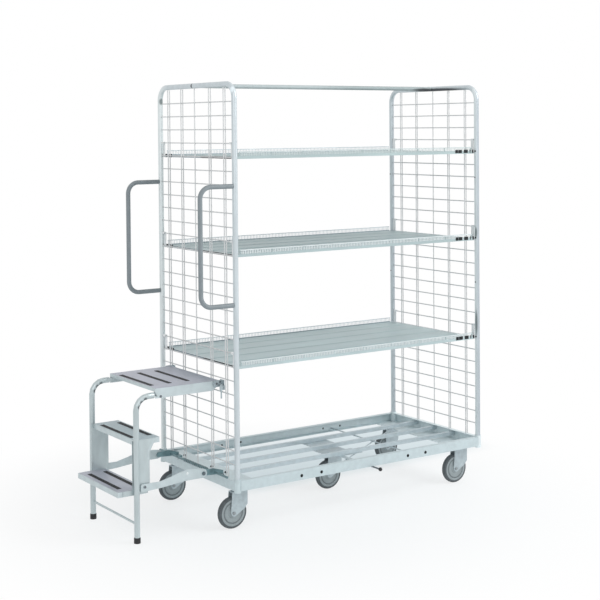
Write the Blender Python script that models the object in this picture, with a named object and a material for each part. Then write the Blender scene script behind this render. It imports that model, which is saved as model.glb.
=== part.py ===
"""Order picking trolley: wire end frames, three hook-in shelves, five castors and a lift-up ladder.

Metres, +Z up. X runs along the trolley, Y runs from the front (minus) to the back (plus).
The drawing is laid out from the floor point under the middle of the four posts; ORIGIN_SHIFT then
moves everything, so that the part's origin is the bottom centre of its bounding box.
"""
import bpy
import bmesh
from math import atan2, cos, pi, sin, tan
from mathutils import Vector

# driving dimensions
GAP = 0.0003            # clearance left between pieces that touch
LENGTH = 1.215          # between the post axes, along X
DEPTH = 0.585           # between the post axes, along Y
TUBE_R = 0.011          # posts, hoops and ladder legs
HOOP_Z = 1.701          # centre line of the top tube
HOOP_BEND = 0.055
TOP_BAR_R = 0.0087
POST_FOOT_Z = 0.155

RAIL_LOW = 0.157
RAIL_TOP = 0.196
RAIL_OUT = 0.012        # outer face of the rails, outside the post axes
RAIL_WIDE = 0.020
SHEET = 0.0025
SLEEVE_R = 0.0138
SLEEVE_LOW = 0.150
SLEEVE_TOP = 0.202
RAIL_HOLE_R = 0.0048
RAIL_HOLE_Z = 0.1735
RAIL_HOLE_SHARES = (-0.5284, -0.3720, 0.3473, 0.5021)
PLATE_LEFT_IN = 0.0775  # inner edges of the end plates, inside the post axes
PLATE_LEFT_TOP = 0.190
PLATE_RIGHT_IN = 0.1075
PLATE_RIGHT_THICK = 0.003
END_HOLE_IN = 0.0375
END_HOLE_SHARES = (-0.496, -0.123, 0.626)
END_HOLE_R = 0.006
BAR_WIDE = 0.015
BAR_LOW = 0.1730
BAR_TOP = 0.1880
BAR_SHARE = 0.4376
CROSS_ROD_SHARE = 0.419
CROSS_ROD_Z = 0.1698
CROSS_ROD_R = 0.0028

WIRE = 0.0045
WIRE_COUNT = 27
WIRE_FIRST_UP = 0.056   # lowest wire above the rails
WIRE_TOP_DOWN = 0.0666  # highest wire below the top tube
UPRIGHT_SHARE = 0.376
UPRIGHT_SIDES = 2

HANDLE_R = 0.009
HANDLE_REACH = 0.152
HANDLE_LOW = 0.864
HANDLE_TOP = 1.314
HANDLE_BEND = 0.045

SHELF_INSET_X = 0.0120
SHELF_INSET_Y = 0.0065
SHELF_SHEET = 0.0015
SHELF_LIP = 0.004
SHELF_LIP_UP = 0.002
SHELF_DROP = 0.0083
SHELF_END_UP = 0.001    # end flanges of a shelf above its deck
SHELF_UP = 0.0025       # deck above the wire that the shelf lies level with
SHELF_HEMS = 0.0125
RIB_WIDE = 0.010
RIB_SIDE = 0.004
RIB_UP = 0.002
RIB_SHARES = (-0.62, -0.21, 0.21, 0.62)
FENCE_UP = 0.0195
FENCE_THICK = 0.003
FENCE_BAR = 0.0028
FENCE_POST = 0.003
FENCE_POSTS = 9
HOOK_WIDE = 0.016
HOOK_INSET = 0.024
HOOK_THICK = 0.0022
HOOK_DROP = 0.006
HOOK_ROOT = 0.009

WHEEL_R = 0.0615
TYRE_IN = 0.0510
TYRE_HALF = 0.0110
HUB_HALF = 0.0118
HUB_BORE = 0.0050
AXLE_R = 0.0045
AXLE_HEAD_R = 0.0060
AXLE_HEAD = 0.0025
FORK_IN = 0.0124
FORK_SHEET = 0.0024
FORK_CROWN = 0.0030
TRAIL = 0.0405
SWIVEL_INSET_X = 0.048
SWIVEL_INSET_Y = 0.055
PLATE_X = 0.045
PLATE_Y = 0.034
PLATE_THICK = 0.003
CROWN_Z = 0.1425
CROWN_SHARES = (-1.148, 0.53)
RACE_R = 0.0185
RACE_TOP = 0.1460
CHEEK_SHARES = ((-1.148, 0.99), (0.53, 0.99), (0.53, 0.63), (0.19, 0.51), (-0.80, 0.345), (-1.00, 0.332),
                (-1.22, 0.365), (-1.32, 0.46))

CENTRE_PIVOT_X = 0.0615
MOUNT_X = (-0.022, 0.100)
MOUNT_IN_Y = 0.060
MOUNT_PAST_BAR = 0.012
MOUNT_SHEET = 0.003
STRAP_HALF = 0.010

KNOB_ROD_X = 0.037
KNOB_ROD_Z = 0.1515
KNOB_ROD_R = 0.0034
KNOB_OUT = 0.0385       # ball's centre in front of the front rail
KNOB_R = 0.0085
CRANK_X = -0.0096
CRANK_IN = 0.0716       # crank stud behind the front posts
CRANK_LOW = 0.1580
CRANK_TOP = 0.1605
CRANK_ARM = 0.0070
CRANK_HOLE_R = 0.0044
STUD_R = 0.0040
PIN_R = 0.0026
SLOT_HALF = 0.0052
SLOT_R = 0.0032
LINK_START_X = -0.0300
LINK_START_IN = 0.1025
LINK_END_IN = (0.0925, 0.1222)
LINK_Z = 0.1640
LINK_R = 0.0025

# ladder: pairs are (outward from the left posts, height); the rest of the widths hang on LEG_Y
HINGE_AT = (0.0325, 0.555)
FLAP_AT = (0.2845, 0.543)
ARM_IN_AT = (0.0845, 0.214)
ARM_OUT_AT = (0.3365, 0.202)
PIVOT_R = 0.0050
PIVOT_BORE_R = 0.0056
PIVOT_HEAD_R = 0.0075
PIVOT_HEAD = 0.0030
LEG_Y = 0.188
LEG_OUT = 0.3725
LEG_TOP_Z = 0.541
LEG_END_OUT = 0.2990
LEG_BEND = 0.050
FOOT_R = 0.0128
FOOT_UP = 0.021
PLATFORM_OUTS = (0.0165, 0.2925)
PLATFORM_OUTSET = 0.0020
PLATFORM_TOP = 0.565
PLATFORM_DROP = 0.037
PLATFORM_NOSE = 0.0125
LADDER_SHEET = 0.002
TONGUE_INSET = 0.0100
TONGUE_THICK = 0.0040
TONGUE_HALF = 0.0075
TONGUE_SHARES = ((0.4, 1.0), (1.0, 0.4), (1.0, -0.4), (0.4, -1.0))
SIDE_INSET = 0.0150
SIDE_THICK = 0.0022
SIDE_TOE = 0.020
SIDE_CURVE = ((0.3195, 0.196), (0.3110, 0.215), (0.3110, 0.325), (0.2975, 0.352), (0.2850, 0.372))
STEP_DROP = 0.020
STEP_MID_OUTS = (0.3725, 0.2675)
STEP_MID_TOP = 0.379
STEP_LOW_OUTS = (0.4425, 0.3255)
STEP_LOW_TOP = 0.195
TIE_Z = 0.070
TIE_R = 0.0045
ARM_INSET = 0.0090
ARM_THICK = 0.0040
ARM_OUTLINE = ((0.3535, 0.190), (0.3485, 0.184), (0.2725, 0.1875), (0.1675, 0.1975), (0.0875, 0.1975),
               (0.0720, 0.203), (0.0690, 0.214), (0.0735, 0.227), (0.0860, 0.2325), (0.1275, 0.2375),
               (0.1545, 0.2395), (0.1925, 0.2320), (0.2235, 0.2230), (0.2725, 0.2120), (0.3485, 0.2135),
               (0.3535, 0.2080))
ARM_HOLE_AT = (0.1550, 0.2245)
ARM_HOLE_R = 0.0055
CARRIER_THICK = 0.0030
CARRIER_SPACE = 0.0010  # washer's width between the carrier's cheeks and the arms
CARRIER_PAD = 0.026
CARRIER_OUTLINE = ((-0.0060, 0.2005), (0.0150, 0.1995), (0.0740, 0.2030), (0.0930, 0.2050), (0.0960, 0.2140),
                   (0.0900, 0.2230), (0.0400, 0.2260), (-0.0060, 0.2120))
SPRING_ROD_AT = (0.0305, 0.208)
SPRING_ROD_R = 0.0045
SPRING_ROD_Y = 0.268       # half length of the rod
SPRING_WIRE_R = 0.0016
SPRING_Y = (-0.121, 0.067)
SPRING_TURNS = 14
SPRING_LEG = 0.030
EAR_OUTSET = 0.0035
EAR_THICK = 0.0030
EAR_REACH = 0.0135
EAR_BACK_OUT = 0.0030
EAR_PLATE = 0.0025
LOCK_OUT = 0.0175
LOCK_OUTSET = 0.0180
LOCK_R = 0.0030
LOCK_LOW = 0.498
LOCK_TOP = 0.552
LOCK_HEAD_R = 0.0060
LOCK_HEAD = 0.004
LOCK_GUIDE_R = 0.0070
LOCK_GUIDE_BORE = 0.0036
LOCK_GUIDE_Z = (0.530, 0.5477)

ROUND = 10
ROUND_FINE = 12
WHEEL_SEGS = 22
BEND_STEPS = 4
COIL_STEPS = 7

# places that follow from the sizes above
HX = LENGTH / 2
HY = DEPTH / 2


def outward(pair):
    """X and Z of a place given as a distance outside the left posts and a height."""
    return (-HX - pair[0], pair[1])


PLATE_LEFT_X = PLATE_LEFT_IN - HX
PLATE_RIGHT_X = HX - PLATE_RIGHT_IN
END_HOLE_X = END_HOLE_IN - HX
BARS_Y = HY * BAR_SHARE
MOUNT_OUT_Y = BARS_Y + MOUNT_PAST_BAR
CROSS_ROD_X = HX * CROSS_ROD_SHARE
WIRE_FIRST_Z = RAIL_TOP + WIRE_FIRST_UP
WIRE_PITCH = (HOOP_Z - WIRE_TOP_DOWN - WIRE_FIRST_Z) / (WIRE_COUNT - 1)
UPRIGHT_PITCH = HY * UPRIGHT_SHARE
HANDLE_OUT = HX + HANDLE_REACH
SHELF_HALF_X = HX - SHELF_INSET_X
SHELF_HALF_Y = HY - SHELF_INSET_Y
HOOK_Y = SHELF_HALF_Y - HOOK_INSET
SWIVEL_X = HX - SWIVEL_INSET_X
SWIVEL_Y = HY - SWIVEL_INSET_Y
KNOB_Y = -(HY + RAIL_OUT + KNOB_OUT)
CRANK = (CRANK_X, CRANK_IN - HY)
LINK_START = (LINK_START_X, LINK_START_IN - HY)
LINK_END = (HX - LINK_END_IN[0], HY - LINK_END_IN[1])
HINGE = outward(HINGE_AT)
FLAP = outward(FLAP_AT)
ARM_IN = outward(ARM_IN_AT)
ARM_OUT = outward(ARM_OUT_AT)
ARM_HOLE = outward(ARM_HOLE_AT)
SPRING_ROD = outward(SPRING_ROD_AT)
SPRING_R = SPRING_ROD_R + SPRING_WIRE_R + GAP
ARM_PROFILE = [outward(pair) for pair in ARM_OUTLINE]
LEG_X = -HX - LEG_OUT
LEG_END_X = -HX - LEG_END_OUT
PLATFORM_X = (-HX - PLATFORM_OUTS[1], -HX - PLATFORM_OUTS[0])
STEP_MID = (-HX - STEP_MID_OUTS[0], -HX - STEP_MID_OUTS[1], STEP_MID_TOP)
STEP_LOW = (-HX - STEP_LOW_OUTS[0], -HX - STEP_LOW_OUTS[1], STEP_LOW_TOP)
EAR_BACK_X = -HX - EAR_BACK_OUT
LOCK_X = -HX - LOCK_OUT
PLATFORM_Y = LEG_Y + PLATFORM_OUTSET
TONGUE_Y = LEG_Y - TONGUE_INSET
SIDE_Y = LEG_Y - SIDE_INSET
STEP_HALF_Y = SIDE_Y - GAP
ARM_Y = LEG_Y - ARM_INSET
CARRIER_Y = ARM_Y - CARRIER_SPACE - CARRIER_THICK
EAR_Y = PLATFORM_Y + EAR_OUTSET
LOCK_Y = -(PLATFORM_Y + LOCK_OUTSET)

# the part's origin: bottom centre of its bounding box, seen from the floor point under the posts
SLEEVE_REACH = SLEEVE_R * cos(pi / ROUND_FINE)
KNOB_REACH = KNOB_OUT + RAIL_OUT + KNOB_R * cos(pi / ROUND)
ORIGIN_SHIFT = ((STEP_LOW_OUTS[0] - SLEEVE_REACH) / 2, (KNOB_REACH - SLEEVE_REACH) / 2, 0.0)

for old in list(bpy.data.objects):
    bpy.data.objects.remove(old, do_unlink=True)


def material(name, colour, roughness, metallic):
    made = bpy.data.materials.new(name)
    made.use_nodes = True
    shader = made.node_tree.nodes["Principled BSDF"]
    shader.inputs["Base Color"].default_value = (*colour, 1.0)
    shader.inputs["Roughness"].default_value = roughness
    shader.inputs["Metallic"].default_value = metallic
    made.diffuse_color = (*colour, 1.0)
    return made


ZINC = (0.62, 0.69, 0.72)
ZINC_DARK = (0.42, 0.48, 0.51)
WIRE_GREY = (0.60, 0.61, 0.61)
HANDLE_GREY = (0.36, 0.38, 0.40)
TYRE_GREY = (0.12, 0.12, 0.125)
HUB_GREY = (0.52, 0.54, 0.56)
BLACK = (0.02, 0.02, 0.022)
CUTTER = material("cutter", BLACK, 1.0, 0.0)


# shape helpers
def prism(axis, profile, start, end):
    """Closed solid: a flat profile drawn out along one axis."""
    bm = bmesh.new()
    rings = []
    for along in (start, end):
        ring = []
        for first, second in profile:
            spots = {"x": (along, first, second), "y": (first, along, second),
                     "z": (first, second, along)}
            ring.append(bm.verts.new(spots[axis]))
        rings.append(ring)
    bm.faces.new(rings[0])
    bm.faces.new(rings[1][::-1])
    count = len(profile)
    for i in range(count):
        j = (i + 1) % count
        bm.faces.new((rings[0][i], rings[1][i], rings[1][j], rings[0][j]))
    return bm


def block(low, high):
    """Plain box between two opposite corners."""
    profile = [(low[0], low[2]), (high[0], low[2]), (high[0], high[2]), (low[0], high[2])]
    return prism("y", profile, low[1], high[1])


def rod(axis, centre, radius, start, end, sides=ROUND):
    """Round bar along one axis; centre gives the two other coordinates in order."""
    profile = []
    for i in range(sides):
        turn = 2 * pi * (i + 0.5) / sides
        profile.append((centre[0] + radius * cos(turn), centre[1] + radius * sin(turn)))
    return prism(axis, profile, start, end)


def lathe(axis, centre, profile, segments):
    """Ring turned from a closed profile of (radius, offset along the axis)."""
    bm = bmesh.new()
    rings = []
    for i in range(segments):
        turn = 2 * pi * i / segments
        ring = []
        for radius, offset in profile:
            if axis == "y":
                spot = (centre[0] + radius * cos(turn), centre[1] + offset, centre[2] + radius * sin(turn))
            else:
                spot = (centre[0] + radius * cos(turn), centre[1] + radius * sin(turn), centre[2] + offset)
            ring.append(bm.verts.new(spot))
        rings.append(ring)
    count = len(profile)
    for i in range(segments):
        nxt = (i + 1) % segments
        for k in range(count):
            j = (k + 1) % count
            bm.faces.new((rings[i][k], rings[nxt][k], rings[nxt][j], rings[i][j]))
    return bm


def rounded(corners, radius):
    """Points of a path whose inner corners are bent to a radius."""
    points = [Vector(corners[0])]
    for i in range(1, len(corners) - 1):
        here = Vector(corners[i])
        back = (Vector(corners[i - 1]) - here).normalized()
        ahead = (Vector(corners[i + 1]) - here).normalized()
        half = back.angle(ahead) / 2
        inset = radius / tan(half)
        middle = here + (back + ahead).normalized() * (radius / sin(half))
        start = (here + back * inset - middle).normalized()
        end = (here + ahead * inset - middle).normalized()
        for k in range(BEND_STEPS + 1):
            points.append(middle + start.slerp(end, k / BEND_STEPS) * radius)
    points.append(Vector(corners[-1]))
    return points


def sweep(points, radius, side, sides=ROUND):
    """Round tube along a path; side is a direction that the path never follows."""
    bm = bmesh.new()
    side = Vector(side)
    rings = []
    last = len(points) - 1
    for i, point in enumerate(points):
        ahead = (points[min(i + 1, last)] - point)
        behind = (point - points[max(i - 1, 0)])
        along = (ahead.normalized() + behind.normalized()).normalized()
        across = (side - along * side.dot(along)).normalized()
        other = along.cross(across)
        ring = []
        for k in range(sides):
            turn = 2 * pi * (k + 0.5) / sides
            ring.append(bm.verts.new(point + (across * cos(turn) + other * sin(turn)) * radius))
        rings.append(ring)
    for i in range(last):
        for k in range(sides):
            j = (k + 1) % sides
            bm.faces.new((rings[i][k], rings[i][j], rings[i + 1][j], rings[i + 1][k]))
    bm.faces.new(rings[0][::-1])
    bm.faces.new(rings[-1])
    return bm


def lattice(columns, rows, first_span, second_span, near, far, axis):
    """Flat welded grid, one body: filled wherever a column or a row band runs."""
    def edges(bands, span):
        marks = set(span)
        for band in bands:
            marks.update(band)
        return sorted(marks)

    firsts = edges(columns, first_span)
    seconds = edges(rows, second_span)

    def inside(bands, low, high):
        middle = (low + high) / 2
        return any(band[0] < middle < band[1] for band in bands)

    bm = bmesh.new()
    made = {}

    def vert(i, j, depth):
        key = (i, j, depth)
        if key not in made:
            spot = (depth, firsts[i], seconds[j]) if axis == "x" else (firsts[i], depth, seconds[j])
            made[key] = bm.verts.new(spot)
        return made[key]

    filled = set()
    for i in range(len(firsts) - 1):
        for j in range(len(seconds) - 1):
            if inside(columns, firsts[i], firsts[i + 1]) or inside(rows, seconds[j], seconds[j + 1]):
                filled.add((i, j))
    for i, j in filled:
        for depth in (near, far):
            bm.faces.new([vert(a, b, depth) for a, b in ((i, j), (i + 1, j), (i + 1, j + 1), (i, j + 1))])
        walls = (((i - 1, j), (i, j), (i, j + 1)), ((i + 1, j), (i + 1, j), (i + 1, j + 1)),
                 ((i, j - 1), (i, j), (i + 1, j)), ((i, j + 1), (i, j + 1), (i + 1, j + 1)))
        for neighbour, one, two in walls:
            if neighbour not in filled:
                bm.faces.new((vert(*one, near), vert(*two, near), vert(*two, far), vert(*one, far)))
    return bm


def put(name, bm, skin, origin=(0.0, 0.0, 0.0)):
    """Turn a bmesh into a named object whose origin is at the given place."""
    bmesh.ops.recalc_face_normals(bm, faces=bm.faces)
    for face in bm.faces:
        face.smooth = True
    for edge in bm.edges:
        edge.smooth = len(edge.link_faces) == 2 and edge.calc_face_angle() < pi / 5
    bmesh.ops.translate(bm, verts=bm.verts, vec=-Vector(origin))
    mesh = bpy.data.meshes.new(name)
    bm.to_mesh(mesh)
    bm.free()
    made = bpy.data.objects.new(name, mesh)
    made.location = Vector(origin) + Vector(ORIGIN_SHIFT)
    made.data.materials.append(skin)
    bpy.context.scene.collection.objects.link(made)
    return made


def boolean(target, bm, operation):
    """Add one hidden operand and the modifier that uses it."""
    label = "%s_%s_%d" % (target.name, operation.lower(), len(target.modifiers))
    operand = put(label, bm, CUTTER)
    operand.hide_render = True
    operand.display_type = "WIRE"
    modifier = target.modifiers.new(label, "BOOLEAN")
    modifier.operation = operation
    modifier.solver = "EXACT"
    modifier.object = operand


def fuse(target, *shapes):
    for bm in shapes:
        boolean(target, bm, "UNION")


def cut(target, *shapes):
    for bm in shapes:
        boolean(target, bm, "DIFFERENCE")


def channel(axis, outer, inner, low, high, thick, start, end):
    """Folded channel: a web at outer and two flanges that run to inner."""
    wall = outer + thick * (1 if inner > outer else -1)
    profile = [(outer, low), (inner, low), (inner, low + thick), (wall, low + thick),
               (wall, high - thick), (inner, high - thick), (inner, high), (outer, high)]
    return prism(axis, profile, start, end)


# base frame
rail_y = HY + RAIL_OUT
rail_x = HX + RAIL_OUT
rail_reach = rail_x - RAIL_WIDE - GAP
for side, way in (("front", -1), ("back", 1)):
    steel = material("galvanised_rail_" + side, ZINC, 0.42, 0.55)
    web = way * rail_y
    rail = put("base_rail_" + side,
               channel("x", web, web - way * RAIL_WIDE, RAIL_LOW, RAIL_TOP, SHEET, -rail_reach, rail_reach),
               steel)
    for share in RAIL_HOLE_SHARES:
        hole_x = HX * share
        ends = sorted((web + way * SHEET, web - way * SHEET * 2))
        cut(rail, rod("y", (hole_x, RAIL_HOLE_Z), RAIL_HOLE_R, ends[0], ends[1]))
    for post_x in (-HX, HX):
        cut(rail, rod("z", (post_x, way * HY), SLEEVE_R + GAP, RAIL_LOW - SHEET, RAIL_TOP + SHEET, ROUND_FINE))

for side, way in (("left", -1), ("right", 1)):
    steel = material("galvanised_end_" + side, ZINC, 0.42, 0.55)
    web = way * rail_x
    end = put("base_end_" + side,
              channel("y", web, web - way * RAIL_WIDE, RAIL_LOW, RAIL_TOP, SHEET, RAIL_WIDE / 6 - HY,
                      HY - RAIL_WIDE / 6),
              steel)
    for post_y in (-HY, HY):
        fuse(end, rod("z", (way * HX, post_y), SLEEVE_R, SLEEVE_LOW, SLEEVE_TOP, ROUND_FINE))
    for post_y in (-HY, HY):
        cut(end, rod("z", (way * HX, post_y), TUBE_R + GAP, SLEEVE_LOW - SHEET, SLEEVE_TOP + SHEET,
                     ROUND_FINE))

plate_reach_y = HY - SLEEVE_R - GAP * 2
plate_outer_x = rail_x - RAIL_WIDE - GAP
plate = put("end_plate_left",
            channel("y", PLATE_LEFT_X, -plate_outer_x, RAIL_LOW, PLATE_LEFT_TOP, SHEET,
                    -plate_reach_y, plate_reach_y),
            material("galvanised_end_plate_left", ZINC, 0.45, 0.5))
for share in END_HOLE_SHARES:
    cut(plate, rod("z", (END_HOLE_X, HY * share), END_HOLE_R, PLATE_LEFT_TOP - SHEET * 2,
                   PLATE_LEFT_TOP + SHEET))
put("end_plate_right",
    block((PLATE_RIGHT_X, -plate_reach_y, RAIL_LOW),
          (plate_outer_x, plate_reach_y, RAIL_LOW + PLATE_RIGHT_THICK)),
    material("galvanised_end_plate_right", ZINC, 0.45, 0.5))

bar_ends = (PLATE_LEFT_X + GAP, rail_x - SHEET - GAP)
for name, bar_y in (("front", -BARS_Y), ("middle", 0.0), ("back", BARS_Y)):
    steel = material("galvanised_bar_" + name, ZINC, 0.42, 0.55)
    put("deck_bar_" + name,
        block((bar_ends[0], bar_y - BAR_WIDE / 2, BAR_LOW), (bar_ends[1], bar_y + BAR_WIDE / 2, BAR_TOP)),
        steel)

rod_reach = rail_y - SHEET - GAP
put("cross_rod", rod("y", (CROSS_ROD_X, CROSS_ROD_Z), CROSS_ROD_R, -rod_reach, rod_reach),
    material("galvanised_cross_rod", ZINC_DARK, 0.4, 0.6))

mount_top = BAR_LOW - GAP
mount_half = [(MOUNT_OUT_Y, mount_top), (MOUNT_OUT_Y, mount_top - MOUNT_SHEET),
              (MOUNT_IN_Y + MOUNT_SHEET, mount_top - MOUNT_SHEET), (MOUNT_IN_Y + MOUNT_SHEET, RAIL_LOW)]
mount_inner = [(-MOUNT_IN_Y, mount_top), (-MOUNT_IN_Y, RAIL_LOW + MOUNT_SHEET),
               (MOUNT_IN_Y, RAIL_LOW + MOUNT_SHEET), (MOUNT_IN_Y, mount_top)]
mount_profile = mount_inner + mount_half + [(-y, z) for y, z in reversed(mount_half)]
mount = put("castor_mount_centre", prism("x", mount_profile, MOUNT_X[0], MOUNT_X[1]),
            material("galvanised_mount", ZINC_DARK, 0.45, 0.5))
fuse(mount,
     block((CRANK[0] - STRAP_HALF, CRANK[1] - STRAP_HALF, mount_top - MOUNT_SHEET * 0.9),
           (CRANK[0] + STRAP_HALF, STRAP_HALF - MOUNT_OUT_Y, mount_top - MOUNT_SHEET * 0.1)),
     rod("z", CRANK, STUD_R, CRANK_LOW - MOUNT_SHEET * 0.6, mount_top - MOUNT_SHEET / 2))

# end frames, mesh, top bar, handles
for side, way in (("left", -1), ("right", 1)):
    hoop = rounded(((way * HX, -HY, POST_FOOT_Z), (way * HX, -HY, HOOP_Z), (way * HX, HY, HOOP_Z),
                    (way * HX, HY, POST_FOOT_Z)), HOOP_BEND)
    put("end_frame_" + side, sweep(hoop, TUBE_R, (1, 0, 0), ROUND_FINE),
        material("galvanised_tube_" + side, ZINC, 0.38, 0.55))
    half = WIRE / 2
    uprights = [(UPRIGHT_PITCH * k - half, UPRIGHT_PITCH * k + half)
                for k in range(-UPRIGHT_SIDES, UPRIGHT_SIDES + 1)]
    wires = [(WIRE_FIRST_Z + WIRE_PITCH * k - half, WIRE_FIRST_Z + WIRE_PITCH * k + half)
             for k in range(WIRE_COUNT)]
    mesh_y = HY - TUBE_R - GAP
    put("mesh_" + side,
        lattice(uprights, wires, (-mesh_y, mesh_y), (RAIL_TOP + GAP, HOOP_Z - TUBE_R - GAP),
                way * HX - half, way * HX + half, "x"),
        material("wire_" + side, WIRE_GREY, 0.4, 0.5))

bar_end = HX - TUBE_R - GAP
put("top_bar", rod("x", (0.0, HOOP_Z), TOP_BAR_R, -bar_end, bar_end, ROUND_FINE),
    material("galvanised_top_bar", ZINC, 0.38, 0.55))

handle_root = -(HX + TUBE_R + GAP)
for side, way in (("front", -1), ("back", 1)):
    grip = rounded(((handle_root, way * HY, HANDLE_LOW), (-HANDLE_OUT, way * HY, HANDLE_LOW),
                    (-HANDLE_OUT, way * HY, HANDLE_TOP), (handle_root, way * HY, HANDLE_TOP)), HANDLE_BEND)
    put("handle_" + side, sweep(grip, HANDLE_R, (0, 1, 0), ROUND_FINE),
        material("handle_grey_" + side, HANDLE_GREY, 0.5, 0.0))

# shelves
SHELF_WIRES = {"low": 7, "middle": 15, "top": 22}
for name, wire_index in SHELF_WIRES.items():
    wire_z = WIRE_FIRST_Z + WIRE_PITCH * wire_index
    deck = wire_z + SHELF_UP
    lip_in = SHELF_HALF_Y - SHELF_LIP
    low = deck - SHELF_DROP
    top_line = []
    under_line = []
    for share in RIB_SHARES:
        mid = share * lip_in
        for part_y, up in ((mid - RIB_WIDE / 2 - RIB_SIDE, 0.0), (mid - RIB_WIDE / 2, RIB_UP),
                           (mid + RIB_WIDE / 2, RIB_UP), (mid + RIB_WIDE / 2 + RIB_SIDE, 0.0)):
            top_line.append((part_y, deck + up))
            under_line.append((part_y, deck + up - SHELF_SHEET))
    profile = [(-SHELF_HALF_Y, low), (-SHELF_HALF_Y, deck + SHELF_LIP_UP), (-lip_in, deck + SHELF_LIP_UP),
               (-lip_in, deck)]
    profile += top_line
    profile += [(SHELF_HALF_Y, deck), (SHELF_HALF_Y, low), (lip_in, low), (lip_in, deck - SHELF_SHEET)]
    profile += under_line[::-1]
    profile += [(-lip_in, deck - SHELF_SHEET), (-lip_in, low)]
    tray = put("shelf_" + name, prism("x", profile, -SHELF_HALF_X, SHELF_HALF_X),
               material("galvanised_shelf_" + name, ZINC, 0.45, 0.5))
    for way in (-1, 1):
        ends = sorted((way * (SHELF_HALF_X - SHELF_SHEET), way * (SHELF_HALF_X + GAP)))
        fuse(tray, block((ends[0], GAP - SHELF_HALF_Y, low + GAP),
                         (ends[1], SHELF_HALF_Y - GAP, deck + SHELF_END_UP)))
    catch = wire_z + WIRE_PITCH + WIRE / 2 + GAP
    strap_out = HX - WIRE / 2 - GAP * 2
    beyond = HX + WIRE / 2 + GAP * 2
    for way in (-1, 1):
        hook = [(SHELF_HALF_X - HOOK_ROOT, low + GAP), (strap_out, low + GAP), (strap_out, catch),
                (beyond, catch), (beyond, catch - HOOK_DROP), (beyond + HOOK_THICK, catch - HOOK_DROP),
                (beyond + HOOK_THICK, catch + HOOK_THICK), (strap_out - HOOK_THICK, catch + HOOK_THICK),
                (strap_out - HOOK_THICK, deck - GAP), (SHELF_HALF_X - HOOK_ROOT, deck - GAP)]
        hook = [(way * x, z) for x, z in hook]
        fuse(tray, prism("y", hook, HOOK_Y, HOOK_Y + HOOK_WIDE),
             prism("y", hook, -HOOK_Y - HOOK_WIDE, -HOOK_Y))
    fence_half = SHELF_HALF_X - SHELF_HEMS
    step = 2 * (fence_half - FENCE_POST / 2) / (FENCE_POSTS - 1)
    posts = []
    for k in range(FENCE_POSTS):
        middle = FENCE_POST / 2 - fence_half + step * k
        posts.append((middle - FENCE_POST / 2, middle + FENCE_POST / 2))
    foot = deck + GAP
    bars = [(foot, foot + FENCE_BAR), (foot + FENCE_UP - FENCE_BAR, foot + FENCE_UP)]
    # the front fence is one body with the tray, the back one stands on it
    front_out = GAP - SHELF_HALF_Y
    fuse(tray, lattice(posts, bars, (-fence_half, fence_half), (foot, foot + FENCE_UP),
                       front_out, front_out + FENCE_THICK, "y"))
    put("shelf_fence_" + name,
        lattice(posts, bars, (-fence_half, fence_half), (foot, foot + FENCE_UP),
                SHELF_HALF_Y - FENCE_THICK, SHELF_HALF_Y, "y"),
        material("galvanised_fence_" + name, ZINC, 0.45, 0.5))


# castors
def wheel(tag, centre):
    edge = WHEEL_R - TYRE_IN
    tyre = [(TYRE_IN + GAP, -TYRE_HALF), (TYRE_IN + edge * 0.66, -TYRE_HALF), (WHEEL_R, -TYRE_HALF * 0.45),
            (WHEEL_R, TYRE_HALF * 0.45), (TYRE_IN + edge * 0.66, TYRE_HALF), (TYRE_IN + GAP, TYRE_HALF)]
    put("tyre_" + tag, lathe("y", centre, tyre, WHEEL_SEGS),
        material("tyre_grey_" + tag, TYRE_GREY, 0.75, 0.0), centre)
    hub = [(HUB_BORE, -HUB_HALF), (HUB_BORE * 2.3, -HUB_HALF), (HUB_BORE * 2.6, -HUB_HALF * 0.6),
           (TYRE_IN, -TYRE_HALF * 0.92), (TYRE_IN, TYRE_HALF * 0.92), (HUB_BORE * 2.6, HUB_HALF * 0.6),
           (HUB_BORE * 2.3, HUB_HALF), (HUB_BORE, HUB_HALF)]
    put("hub_" + tag, lathe("y", centre, hub, WHEEL_SEGS),
        material("hub_grey_" + tag, HUB_GREY, 0.5, 0.0), centre)


def fork(tag, pivot, leg_outline):
    """Crown plate, two cheeks and the axle of one castor, as one pressing."""
    pivot_x, pivot_y = pivot
    axle_x = pivot_x - TRAIL
    steel = material("zinc_fork_" + tag, ZINC, 0.4, 0.6)
    out = FORK_IN + FORK_SHEET
    made = put("fork_" + tag,
               block((pivot_x + CROWN_SHARES[0] * TRAIL, pivot_y - out, CROWN_Z - FORK_CROWN),
                     (pivot_x + CROWN_SHARES[1] * TRAIL, pivot_y + out, CROWN_Z)),
               steel, (pivot_x, pivot_y, CROWN_Z))
    outline = [(pivot_x + x, z) for x, z in leg_outline]
    fuse(made, prism("y", outline, pivot_y - out, pivot_y - FORK_IN),
         prism("y", outline, pivot_y + FORK_IN, pivot_y + out),
         rod("y", (axle_x, WHEEL_R), AXLE_R, pivot_y - out - AXLE_HEAD / 2, pivot_y + out + AXLE_HEAD / 2),
         rod("y", (axle_x, WHEEL_R), AXLE_HEAD_R, pivot_y - out - AXLE_HEAD, pivot_y - out + FORK_SHEET / 2),
         rod("y", (axle_x, WHEEL_R), AXLE_HEAD_R, pivot_y + out - FORK_SHEET / 2, pivot_y + out + AXLE_HEAD))
    return made


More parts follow.
